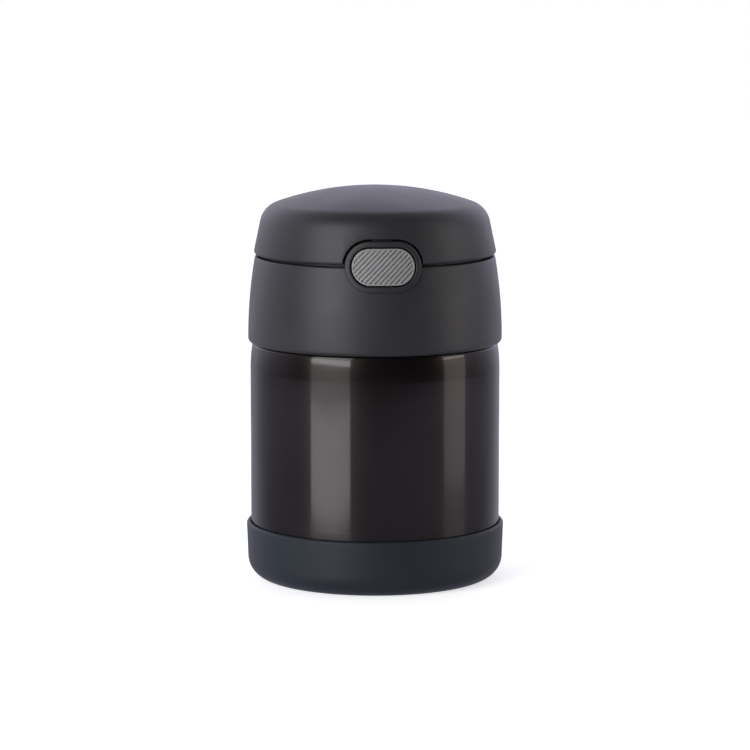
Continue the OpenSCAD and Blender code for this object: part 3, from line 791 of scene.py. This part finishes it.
def build_ridges(name, root, tip, foot_z, body, material, node):
    """Two thread ridges, half a turn apart: one is wound round the axis and the other is its copy."""
    step = 5
    count = THREAD_SWEEP // step
    crest, base = 0.6, 1.1
    fading = 5
    section = eased([(root, foot_z - base), (tip, foot_z - crest, 0.35), (tip, foot_z + crest, 0.35),
        (root, foot_z + base)], 3)
    ridge = wound(name, [(r, 0, z) for r, z in section], (0, 0, 0), (0, 0, 1),
        [-step] * count, [THREAD_LEAD * step / 360] * count)
    take(ridge)
    edit()
    for number in range(fading):
        share = 1 - max(0.05, number / fading)
        for angle in (number * step, THREAD_SWEEP - number * step):
            way = Vector((math.cos(math.radians(angle)), math.sin(math.radians(angle)), 0))

            def near_tip(co):
                flat = Vector((co.x, co.y, 0))
                off_root = abs(flat.length - root) > 0.3 * abs(tip - root)
                return off_root and flat.dot(way) > 0.9999 * flat.length

            choose(ridge, near_tip)
            bpy.ops.transform.translate(value=-way * (tip - root) * share * MM)
    done()
    other = copy_of(ridge, name + "_copy")
    other.rotation_euler = (0, 0, math.pi)
    place(other)
    finish_piece(fuse([ridge, other]), body, material, [node], angle=50)


# ---- screw-off lid ----

def build_collar():
    big_r = (COLLAR_TOP - COLLAR_Z - COLLAR_EDGE - COLLAR_TOP_R) / math.sin(math.radians(COLLAR_LEAN))
    side_c = (COLLAR_R - big_r, COLLAR_Z + COLLAR_EDGE)
    lean = math.radians(COLLAR_LEAN)
    top_c = Vector(side_c) + (big_r - COLLAR_TOP_R) * Vector((math.cos(lean), math.sin(lean)))
    top_in_r = DECK_RIM_R + 0.2
    lip_r = SHELL_R - 4.6
    in_r = COLLAR_R - COLLAR_WALL
    inside = arc(side_c, big_r - COLLAR_WALL, 0, COLLAR_LEAN, 16)
    outline = arc((COLLAR_R - COLLAR_EDGE, COLLAR_Z + COLLAR_EDGE), COLLAR_EDGE, -90, 0, 8)
    outline += arc(side_c, big_r, 0, COLLAR_LEAN, 20)[1:]
    outline += arc(top_c, COLLAR_TOP_R, COLLAR_LEAN, 90, 6)[1:]
    outline += [(top_in_r, COLLAR_TOP), (top_in_r, STEP_Z)]
    outline += [p for p in inside[::-1] if CORE_Z < p[1] < STEP_Z]
    outline += [(in_r, CORE_Z), (lip_r, CORE_Z), (lip_r, COLLAR_Z + 2), (in_r, COLLAR_Z + 2)]
    outline += [(in_r, COLLAR_Z + 0.3)]
    collar = turned("lid_collar", outline, 256)
    carve(collar, seam_cutter(0.05, RING_BACK))
    notch = (NOTCH_X, SHELL_R + 4, COLLAR_TOP + 1)
    cut_box(collar, (-NOTCH_X, NOTCH_Y, COLLAR_TOP - 2.2), notch)
    round_cut(collar, 0.3, lambda co: co.y > NOTCH_Y and co.z > COLLAR_TOP - 3)
    finish_piece(collar, "lid", LID, ["collar"], angle=30)


def build_cap():
    """Moulded inner cap: threaded skirt, ceiling and hollow stopper."""
    plug_in = PLUG_R - 1.4
    plug_floor = PLUG_Z + 1.6
    rib_r = PLUG_R + 1
    rib_top = MOUTH_Z - 2.2
    outline = eased([(CORE_IN_R, CORE_Z, 0.4), (CORE_R, CORE_Z, 0.4), (CORE_R, CORE_TOP),
        (plug_in, CORE_TOP), (plug_in, plug_floor), (0, plug_floor), (0, PLUG_Z), (PLUG_R, PLUG_Z, 1.6),
        (PLUG_R, MOUTH_Z - 3.3, 0.3), (rib_r, MOUTH_Z - 3, 0.25), (rib_r, rib_top, 0.2),
        (PLUG_R, rib_top, 0.1), (PLUG_R, CEILING, 0.2), (CORE_IN_R, CEILING, 0.6)])
    cap = turned("inner_cap", outline)
    finish_piece(cap, "lid", INNER, ["lid_core"])


def build_seal():
    low, high = size_of("seal_ring")
    in_r = PLUG_R + 0.4
    skirt = in_r + 0.8
    outline = eased([(in_r, low.z, 0.25), (skirt, low.z, 0.25), (skirt, MOUTH_Z, 0.3),
        (high.x, MOUTH_Z, 0.5), (high.x, high.z, 0.5), (in_r, high.z, 0.3)])
    seal = turned("silicone_seal", outline)
    finish_piece(seal, "lid_seal", SILICONE, ["seal_ring"])


def build_cradle():
    """Half ring that the round end of the spoon's bowl rests in."""
    top = DECK_FLOOR + 3.8
    ring = turned("cradle", eased([(9, DECK_FLOOR - 0.5), (10.4, DECK_FLOOR - 0.5), (10.4, top, 0.4),
        (9, top, 0.4)]), 64, centre=(BOWL_X, SPOON_Y))
    cut_box(ring, (BOWL_X, -20, DECK_FLOOR - 1), (10, 30, SPOON_RIM))
    return carve(ring, ball("cutter", BOWL_X, BALL_R + 0.15, SPOON_RIM - BOWL_DEPTH + BALL_R, 64))


def build_tray():
    """Tray under the cover, with its spoon cradle, spoon clips and hinge lugs."""
    outline = eased([(0, CORE_TOP), (DECK_R, CORE_TOP, 0.3), (DECK_R, STEP_Z), (DECK_RIM_R, STEP_Z),
        (DECK_RIM_R, DECK_RIM_Z, 0.5), (DECK_IN_R, DECK_RIM_Z, 0.5), (DECK_IN_R, DECK_FLOOR, 1.4),
        (0, DECK_FLOOR)])
    tray = turned("tray", outline)
    carve(tray, seam_cutter(0.1, -30))
    cut_box(tray, (-14.2, NOTCH_Y, SHELF_Z + SHELF_T), (14.2, SHELL_R, DECK_RIM_Z + 1))
    rest = brick("rest", (-2, SPOON_Y - 6, DECK_FLOOR - 0.5), (-0.6, SPOON_Y + 6, DECK_FLOOR + 2.3))
    parts = [tray, build_cradle(), soften(rest, 0.45)]
    for near, far in both_sides(HANDLE_W / 2 + 0.4, HANDLE_W / 2 + 1.8, SPOON_Y):
        clip = brick("clip", (19, near, DECK_FLOOR - 0.5), (26, far, HANDLE_Z + 2))
        parts.append(soften(clip, 0.5, 4))
    for inner, outer in both_sides(*LUG_X):
        outline = [(PIVOT.y - 3.6, PIVOT.z - 0.4), (PIVOT.y - 3.6, SHELF_Z), (PIVOT.y + 0.6, SHELF_Z)]
        outline += arc((PIVOT.y, PIVOT.z), HINGE_EYE_R, -74, 150, 28)
        parts.append(eye("lug", outline, inner, outer, 1.02))
    shelf = brick("shelf", (-11, 33, SHELF_Z), (11, PIVOT.y - 2.4, SHELF_Z + SHELF_T))
    parts.append(soften(shelf, 0.3))
    for left in (-11, -0.8, 9.4):
        post = brick("post", (left, 33, DECK_FLOOR - 0.5), (left + 1.6, PIVOT.y - 2.4, SHELF_Z + 0.5))
        parts.append(soften(post, 0.2))
    finish_piece(fuse(parts), "lid", LID, ["lid_deck"])


# ---- hinge and springs ----

def build_pin(name, start, end, node, body):
    pin = rod(name, start, end, 1.0)
    soften(pin, 0.2, 3)
    finish_piece(pin, body, WIRE, [node])


def wire_ring(middle, out, along, radius=WIRE_R, sides=12):
    """Points round a wire whose middle is at middle + out."""
    centre = Vector(middle) + Vector(out)
    way = Vector(out).normalized()
    turns = [2 * math.pi * i / sides for i in range(sides)]
    return [centre + radius * (math.cos(t) * way + math.sin(t) * Vector(along)) for t in turns]


def build_torsion_half(name, side, node, body):
    """Half of the hinge's spring: a coil on the pin that runs into a straight leg."""
    turns, step = 4.5, 15
    count = int(turns * 360 / step)
    start, end = side * 0.35, side * 3.4
    middle = (start, PIVOT.y, PIVOT.z)
    section = wire_ring(middle, (0, 0, -side * 1.55), (1, 0, 0))
    leg = (0, -5.6, 0.3 if side > 0 else -0.75)
    rises = [(end - start) / count] * count
    coil = wound(name, section, middle, (1, 0, 0), [-side * step] * count, rises, leg)
    finish_piece(coil, body, WIRE, [node], angle=60)


def build_button_spring():
    """Pressure spring with closed ends behind the latch."""
    low, high = size_of("button_spring")
    start, end = low.y + WIRE_R, high.y - WIRE_R
    middle = (0, start, BUTTON_Z)
    step = 15
    closed = 0.62
    loose = (end - start - 2 * closed) / 3
    rises = [pitch * step / 360 for pitch in (closed, loose, loose, loose, closed) for _ in range(24)]
    section = wire_ring(middle, (1.9, 0, 0), (0, 1, 0))
    coil = wound("button_coil", section, middle, (0, 1, 0), [step] * len(rises), rises)
    finish_piece(coil, "lid", WIRE, ["button_spring"], angle=60)
    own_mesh(coil)


# ---- push button and latch ----

def quarter(inset, depth, radius, start, end, steps=5):
    """Rounded edge of an oval wall, as (inset, depth) from a side at start to a front at end."""
    turns = [math.radians(start + (end - start) * i / steps) for i in range(steps + 1)]
    return [(inset - radius * math.sin(t), depth + radius * (1 - math.cos(t))) for t in turns]


def build_ring():
    """Raised oval ring round the button, with the latch's guide box behind it."""
    edge_r = 0.4
    profile = [(0, RING_BACK)]
    profile += quarter(edge_r, FLAT_FRONT, edge_r, 90, 0)
    profile += quarter(RING_W - edge_r, FLAT_FRONT, edge_r, 0, -90)
    profile += [(RING_W, RING_BACK)]
    ring = bow_front(oval_walls("button_ring", RING_OUT_W, RING_OUT_H, profile))
    box = brick("guide_box", (-10.2, RING_BACK - 1, BUTTON_Z - 6.2), (10.2, BOX_BACK, BUTTON_Z + 6.2))
    soften(box, 0.4, 4)
    cut_box(box, (-9, RING_BACK - 1.5, BUTTON_Z - 5), (9, BOX_BACK - 1.2, BUTTON_Z + 5))
    carve(box, oval_plug("cutter", RING_IN_W, RING_IN_H, -SHELL_R, RING_BACK))
    slot_top = BUTTON_Z + RING_OUT_H
    for piece in (ring, box):
        cut_box(piece, (-4.5, CATCH_Y - 0.8, BUTTON_Z), (4.5, TONGUE_Y + 1, slot_top))
    finish_piece(fuse([ring, box]), "lid", LID, ["button_bezel"], angle=25)


def build_button():
    """Oval button with a thin rim and diagonal grip ribs."""
    rim_w, field = 0.55, 0.48
    front = FLAT_FRONT + 0.02
    profile = [(0, BUTTON_BACK)]
    profile += quarter(0.3, front, 0.3, 90, 0)
    profile += quarter(rim_w - 0.12, front, 0.12, 0, -90, 3)
    profile += [(rim_w + 0.05, front + field)]
    cap = oval_walls("push_cap", BUTTON_W, BUTTON_H, profile, capped=True)
    slot_low = BUTTON_Z - 2.43
    slot_top = BUTTON_Z + BUTTON_H
    cut_box(cap, (-4.1, BUTTON_BACK - 1.6, slot_low), (4.1, BUTTON_BACK + 1, slot_top))

    pitch, share, slope = 1.26, 0.55, math.radians(46)
    half = pitch * share / 2
    first = soften(brick("rib", (-14, front, -half), (14, front + field + 0.1, half)), 0.17, 3)
    ribs = []
    for number in range(-9, 10):
        rib = copy_of(first, "rib_copy")
        shift = number * pitch
        rib.rotation_euler = (0, -slope, 0)
        rib.location = (-math.sin(slope) * shift * MM, 0, (math.cos(slope) * shift + OVAL_Z) * MM)
        place(rib)
        ribs.append(rib)
    bpy.data.objects.remove(first)
    ribs = fuse(ribs)
    inner_w, inner_h = BUTTON_W - 2 * rim_w + 0.16, BUTTON_H - 2 * rim_w + 0.16
    carve(ribs, oval_plug("cutter", inner_w, inner_h, front - 1, front + 2), "INTERSECT")
    cap = bow_front(fuse([cap, ribs]))
    finish_piece(cap, "push_button", BUTTON, ["button"], angle=40)


def build_latch():
    """Frame behind the button: two arms, a crossbar and the tongue that holds the cover's catch."""
    bar = (BAR_Y, BAR_Y + 1.4)
    low = BUTTON_Z - 3.5
    tongue_z = BUTTON_Z + 0.47
    arms = []
    for inner, outer in both_sides(6, 8):
        arm = brick("arm", (inner, BUTTON_BACK, low), (outer, bar[1], low + 7))
        arms.append(soften(arm, 0.25))
    crossbar = soften(brick("crossbar", (-6.2, bar[0], low), (6.2, bar[1], low + 7)), 0.2)
    root = bar[0] + 0.3
    tongue = slab("tongue", eased([(TONGUE_Y, tongue_z, 0.2), (TONGUE_Y, tongue_z + 1.5, 0.2),
        (TONGUE_Y + 0.6, tongue_z + 2.1, 0.2), (root, tongue_z + 2.1), (root, tongue_z)]), -4, 4)
    soften(tongue, 0.15, 2, 60)
    finish_piece(fuse(arms + [crossbar, tongue]), "push_button", LATCH, ["latch_slider"])


# ---- hinged cover ----

def cover_lines(inset, steps=16):
    """Cover's shoulder and crown up to the axis, drawn in by inset."""
    lean = math.radians(COVER_LEAN)
    turn_r = COVER_R - (COVER_TURN_Z - COVER_Z - COVER_EDGE) * math.tan(lean)
    shoulder_c = (turn_r - COVER_SHOULDER * math.cos(lean), COVER_TURN_Z - COVER_SHOULDER * math.sin(lean))
    rise = COVER_TOP - shoulder_c[1]
    crown_r = (shoulder_c[0] ** 2 + rise ** 2 - COVER_SHOULDER ** 2) / (2 * (rise - COVER_SHOULDER))
    crown_c = (0, COVER_TOP - crown_r)
    turn = math.degrees(math.atan2(shoulder_c[1] - crown_c[1], shoulder_c[0]))
    shoulder = arc(shoulder_c, COVER_SHOULDER - inset, COVER_LEAN, turn, steps)
    return shoulder + arc(crown_c, crown_r - inset, turn, 90, 24)[1:]


def cover_side(z, inset):
    lean = math.radians(COVER_LEAN)
    return COVER_R - (z - COVER_Z - COVER_EDGE) * math.tan(lean) - inset / math.cos(lean)


def build_cover():
    edge_c = (COVER_R - COVER_EDGE, COVER_FOOT_Z + COVER_EDGE)
    outline = [(cover_side(COVER_Z, COVER_WALL), COVER_FOOT_Z)] + arc(edge_c, COVER_EDGE, -90, 0, 8)
    outline += cover_lines(0) + cover_lines(COVER_WALL)[::-1]
    cover = turned("cover_dome", outline, 256)
    carve(cover, seam_cutter(SEAM_GAP, -20))
    cut_box(cover, (-NOTCH_X, NOTCH_Y, COVER_Z - 1), (NOTCH_X, SHELL_R, COVER_Z + 4.7))

    def outer_edge(co):
        return math.hypot(co.x, co.y) > cover_side(co.z, 0.4) and co.z > COVER_Z + 0.6

    round_cut(cover, 0.3, outer_edge)
    parts = [cover]
    for inner, outer in both_sides(*KNUCKLE_X):
        outline = [(PIVOT.y + 0.3, PIVOT.z + 5.2), (PIVOT.y - 1.9, PIVOT.z + 5.2)]
        outline += arc((PIVOT.y, PIVOT.z), HINGE_EYE_R, 150, 423, 32)
        parts.append(eye("knuckle", outline, inner, outer, 1.05))
    finish_piece(fuse(parts), "cover", LID, ["cover_shell"], angle=30)


def build_lining():
    """Inner skin of the cover, with the latch's catch and the rib that the hinge spring lifts."""
    top = LINER_Z + 1.2
    outline = [(cover_side(LINER_Z, LINER_GAP + LINER_WALL), LINER_Z)]
    outline += [(cover_side(LINER_Z, COVER_WALL + 0.1), LINER_Z), (cover_side(top, COVER_WALL + 0.1), top)]
    outline += [(cover_side(top, LINER_GAP), top)]
    outline += cover_lines(LINER_GAP) + cover_lines(LINER_GAP + LINER_WALL)[::-1]
    lining = turned("cover_lining", outline)
    carve(lining, seam_cutter(SEAM_GAP, -20))
    gap = (NOTCH_X + 0.3, SHELL_R, PIVOT.z + 5.5)
    cut_box(lining, (-NOTCH_X - 0.3, NOTCH_Y, COVER_Z), gap)
    tip_z = BUTTON_Z - 1.73
    tip_y = CATCH_Y + 1.2
    barb_y = tip_y + 0.9
    catch = slab("catch", [(CATCH_Y, tip_z), (tip_y, tip_z), (barb_y, tip_z + 1), (barb_y, tip_z + 1.9),
        (tip_y, tip_z + 1.9), (tip_y, COVER_Z + 10), (CATCH_Y, COVER_Z + 10)], -3.5, 3.5)
    soften(catch, 0.15, 2, 50)
    rib = brick("lift_rib", (2.6, 33.5, PIVOT.z + 2.25), (4.2, PIVOT.y - 3.2, PIVOT.z + 9.5))
    soften(rib, 0.25)
    baffle = brick("baffle", (-11.5, -36.3, BUTTON_Z + 6.6), (11.5, -35.3, BUTTON_Z + 11))
    soften(baffle, 0.2)
    finish_piece(fuse([lining, catch, rib, baffle]), "cover", LINER, ["cover_liner"])


# ---- folding spoon ----

def build_bowl():
    """Bowl pressed from one sheet: a skin over a large and a small ball, with its neck and barrel."""
    def round_end(name, x, size):
        return ball(name, x, size * BALL_R, SPOON_RIM + size * (BALL_R - BOWL_DEPTH))

    bowl = fuse([round_end("bowl", BOWL_X, 1), round_end("tip", TIP_X, TIP_SIZE)])
    edit()
    choose_all()
    bpy.ops.mesh.convex_hull()
    choose_all()
    bpy.ops.mesh.bisect(plane_co=(0, 0, SPOON_RIM * MM), plane_no=(0, 0, 1), clear_outer=True)
    weld()
    bpy.ops.mesh.normals_make_consistent(inside=False)
    done()
    apply_modifier(bowl, "SOLIDIFY", thickness=0.8 * MM, offset=1, use_even_offset=True)
    soften(bowl, 0.25, 3, 50)
    end_x = SPOON_PIN_X - 3
    low, high = SPOON_RIM - 0.7, SPOON_RIM + 0.5
    neck = brick("neck", (12.1, SPOON_Y - 4, low), (end_x + 0.2, SPOON_Y + 4, high))
    soften(neck, 0.35)
    link = brick("link", (end_x - 0.5, SPOON_Y - BARREL_HALF, low),
        (SPOON_PIN_X, SPOON_Y + BARREL_HALF, high))
    soften(link, 0.2)
    barrel_ends = [(SPOON_PIN_X, SPOON_Y + side * BARREL_HALF, SPOON_PIN_Z) for side in (-1, 1)]
    barrel = soften(rod("barrel", *barrel_ends, BARREL_R), 0.2)
    finish_piece(fuse([bowl, neck, link, barrel]), "spoon", STEEL_SPOON, ["spoon_bowl"])


def build_handle():
    """Flat pressed handle with a shallow oblong panel, forked over the spoon's barrel."""
    start, end, fork, thickness = -34, 34.5, 3.0, 1.4
    middle = (start + end) / 2
    reach = (end - start - HANDLE_W) / 2
    centre = (middle, SPOON_Y, HANDLE_Z)
    handle = stadium("handle", centre, HANDLE_W / 2, reach, 64, (0, 0, math.pi / 64), "NGON")
    choose_all()
    pull((0, 0, thickness * MM))
    face_outwards()
    choose_faces(handle, lambda middle, normal: normal.z > 0.9)
    bpy.ops.mesh.inset(thickness=2.2 * MM)
    bpy.ops.mesh.inset(thickness=0.35 * MM, depth=-0.3 * MM)
    done()
    soften(handle, 0.3, 3, 35)
    under, over = HANDLE_Z - 1, HANDLE_Z + 3
    cut_box(handle, (SPOON_PIN_X - 2.4, SPOON_Y - fork, under), (end + 1, SPOON_Y + fork, over))
    blunt = SPOON_PIN_X + 2.2
    cut_box(handle, (blunt, SPOON_Y - 7, under), (end + 1, SPOON_Y + 7, over))
    parts = [handle]
    for inner, outer in both_sides(fork, FORK_HALF, SPOON_Y):
        lug = rod("fork_lug", (SPOON_PIN_X, inner, SPOON_PIN_Z), (SPOON_PIN_X, outer, SPOON_PIN_Z), BARREL_R)
        low, high = SPOON_PIN_X - BARREL_R, SPOON_PIN_X + BARREL_R
        cheek = brick("cheek", (low, inner, SPOON_PIN_Z), (high, outer, HANDLE_Z + 0.3))
        parts += [soften(lug, 0.2), soften(cheek, 0.1, 2)]
    finish_piece(fuse(parts), "spoon", STEEL_SPOON, ["spoon_handle"])


# ---- floor, light and camera ----

# Each ramp of the room's light: how much it changes the light, and between which two directions.
WALL_GLOW, WALL_RAMP = 0.85, (-0.3, 0.9)
UPPER_GAIN, UPPER_RAMP = 2.3, (-0.12, 0.15)
CEILING_GAIN, CEILING_RAMP = 0.15, (0.55, 0.95)
BACK_GAIN, BACK_RAMP = 0.5, (0.85, 1)
TABLE_GLOW = 0.7
TABLE_BOW = 0.02
FRONT_GLOW, TABLE_RAMP = 0.03, (-0.16, -0.15)
NEAR_GAIN, NEAR_RAMP = 0.5, (-0.2, -0.155)
ROOM_TINT = (0.96, 0.93, 1.14)

PANEL_OUT = 1.1
# On each side, the panels' bearing and width, then each panel's name, low, high, glow and colour.
PANELS = (
    (-45, 0.75, (
        ("left_box", 0.27, 1.15, 4.1, (0.97, 0.99, 1)),
        ("left_bar", 0.16, 0.27, 8, (0.97, 0.99, 1)),
        ("left_middle", -0.1, 0.16, 1.5, (1, 1, 1)),
        ("left_glow", -0.175, -0.1, 4.9, (1, 1, 1)),
        ("left_foot", -0.6, -0.175, 0.7, (1, 1, 1)))),
    (73.5, 0.48, (
        ("right_box", 0.27, 1.15, 1.4, (1, 0.97, 0.93)),
        ("right_bar", 0.18, 0.27, 6.5, (1, 0.95, 0.9)),
        ("right_middle", -0.15, 0.18, 1.7, (1, 0.9, 0.86)),
        ("right_foot", -0.6, -0.15, 0.4, (1, 0.92, 0.88)))))

CAMERA_TURN = math.radians(3.9)
CAMERA_OUT = 1.2
CAMERA_H = 0.2422
CAMERA_PITCH = math.radians(8.11)
CAMERA_LENS = 164.5


def stage_floor():
    settle()
    bpy.ops.mesh.primitive_plane_add(size=12, location=(0, 0, -0.02 * MM))
    floor = named("studio_floor")
    place(floor)
    material, nodes, links, shader = new_finish("pale_floor", (0.85, 0.85, 0.85), 0.7, specular=0.1)
    shader.inputs["Emission Color"].default_value = (1, 1, 1, 1)
    shader.inputs["Emission Strength"].default_value = 0.62
    floor.data.materials.append(material)
    floor.visible_glossy = False
    floor.visible_diffuse = False
    floor.visible_shadow = False


def softbox(name, bearing, low, high, width, glow, tint):
    """An upright panel of light; bearing in degrees from the button's side, to the right positive."""
    light = bpy.data.lights.new(name, "AREA")
    light.shape = "RECTANGLE"
    light.size, light.size_y = width, high - low
    light.energy = glow * math.pi * width * (high - low)
    light.color = tint
    lamp = bpy.data.objects.new(name, light)
    bpy.context.scene.collection.objects.link(lamp)
    turn = math.radians(bearing)
    lamp.location = (PANEL_OUT * math.sin(turn), -PANEL_OUT * math.cos(turn), (low + high) / 2)
    lamp.rotation_euler = (math.pi / 2, 0, turn)
    lamp.visible_camera = False


def maths(nodes, links, operation, first, second=None):
    """A Math node on two values, each a socket or a number."""
    node = nodes.new("ShaderNodeMath")
    node.operation = operation
    for socket, value in zip(node.inputs, (first, second)):
        if isinstance(value, (int, float)):
            socket.default_value = value
        elif value is not None:
            links.new(value, socket)
    return node.outputs["Value"]


def stage_world():
    """White behind everything that the camera sees. The jar itself is lit by a dimmer room: a pale
    wall behind it, half as bright straight behind, dark overhead and in front, and a pale table that
    ends in front of it."""
    world = bpy.data.worlds.new("studio")
    bpy.context.scene.world = world
    world.use_nodes = True
    nodes, links = world.node_tree.nodes, world.node_tree.links
    background = nodes["Background"]
    coordinate = nodes.new("ShaderNodeTexCoord")
    way = nodes.new("ShaderNodeSeparateXYZ")
    links.new(coordinate.outputs["Generated"], way.inputs["Vector"])
    across, back, up = (way.outputs[axis] for axis in "XYZ")

    def ramp(value, low, high, span):
        return ranged(nodes, links, value, low, high, *span)

    def times(first, second):
        return maths(nodes, links, "MULTIPLY", first, second)

    upper = ramp(up, 1, UPPER_GAIN, UPPER_RAMP)
    ceiling = ramp(up, 1, CEILING_GAIN, CEILING_RAMP)
    wall = times(ramp(back, 0, WALL_GLOW, WALL_RAMP), times(upper, ceiling))
    wall = times(wall, ramp(back, 1, BACK_GAIN, BACK_RAMP))
    sideways = times(maths(nodes, links, "ABSOLUTE", across), TABLE_BOW)
    drop = maths(nodes, links, "SUBTRACT", up, sideways)
    near = ramp(up, NEAR_GAIN * TABLE_GLOW, TABLE_GLOW, NEAR_RAMP)
    table = times(ramp(drop, 1, FRONT_GLOW, TABLE_RAMP), near)
    room = maths(nodes, links, "MAXIMUM", wall, table)
    path = nodes.new("ShaderNodeLightPath")
    mix = nodes.new("ShaderNodeMix")
    mix.data_type = "FLOAT"
    links.new(path.outputs["Is Camera Ray"], mix.inputs["Factor"])
    links.new(room, mix.inputs["A"])
    mix.inputs["B"].default_value = 1.0
    links.new(mix.outputs["Result"], background.inputs["Strength"])
    tint = tinted(nodes, links, path.outputs["Is Camera Ray"], ROOM_TINT, (1, 1, 1))
    links.new(tint, background.inputs["Color"])


def stage_light():
    stage_world()
    for bearing, width, panels in PANELS:
        for name, low, high, glow, tint in panels:
            softbox(name, bearing, low, high, width, glow, tint)


def stage_camera():
    camera = bpy.data.cameras.new("main_view")
    camera.lens = CAMERA_LENS
    camera.sensor_width = 36
    camera.clip_start, camera.clip_end = 0.05, 40
    holder = bpy.data.objects.new("main_view", camera)
    bpy.context.scene.collection.objects.link(holder)
    holder.location = (-CAMERA_OUT * math.sin(CAMERA_TURN), -CAMERA_OUT * math.cos(CAMERA_TURN), CAMERA_H)
    holder.rotation_euler = (math.pi / 2 - CAMERA_PITCH, 0, -CAMERA_TURN)
    bpy.context.scene.camera = holder
    bpy.context.scene.view_settings.view_transform = "Standard"


build_body()
build_flask()
build_boot()
build_ridges("neck_ridges", NECK_R - 0.05, NECK_R + 1.4, NECK_RIDGE_Z, "jar", STEEL_ROUND,
    "neck_thread")
build_collar()
build_cap()
build_ridges("cap_ridges", CORE_IN_R + 0.05, CORE_IN_R - 1.5, NECK_RIDGE_Z - THREAD_LEAD / 4, "lid",
    INNER, "core_thread")
build_seal()
build_tray()
build_pin("hinge_rod", (-11, PIVOT.y, PIVOT.z), (11, PIVOT.y, PIVOT.z), "hinge_pin", "lid")
build_torsion_half("lid_side_spring", -1, "hinge_spring_lid_end", "lid")
build_torsion_half("cover_side_spring", 1, "hinge_spring_cover_end", "cover")
build_ring()
build_button()
build_latch()
build_button_spring()
build_cover()
build_lining()
build_bowl()
build_handle()
build_pin("spoon_rivet", (SPOON_PIN_X, SPOON_Y - FORK_HALF, SPOON_PIN_Z),
    (SPOON_PIN_X, SPOON_Y + FORK_HALF, SPOON_PIN_Z), "spoon_pin", "spoon")
for steel_node in ("bottom_plate", "getter_pack", "vacuum_seal"):
    dress_node(steel_node, STEEL_ROUND)
dress_node("insulation_core", FOAM)

stage_floor()
stage_light()
stage_camera()
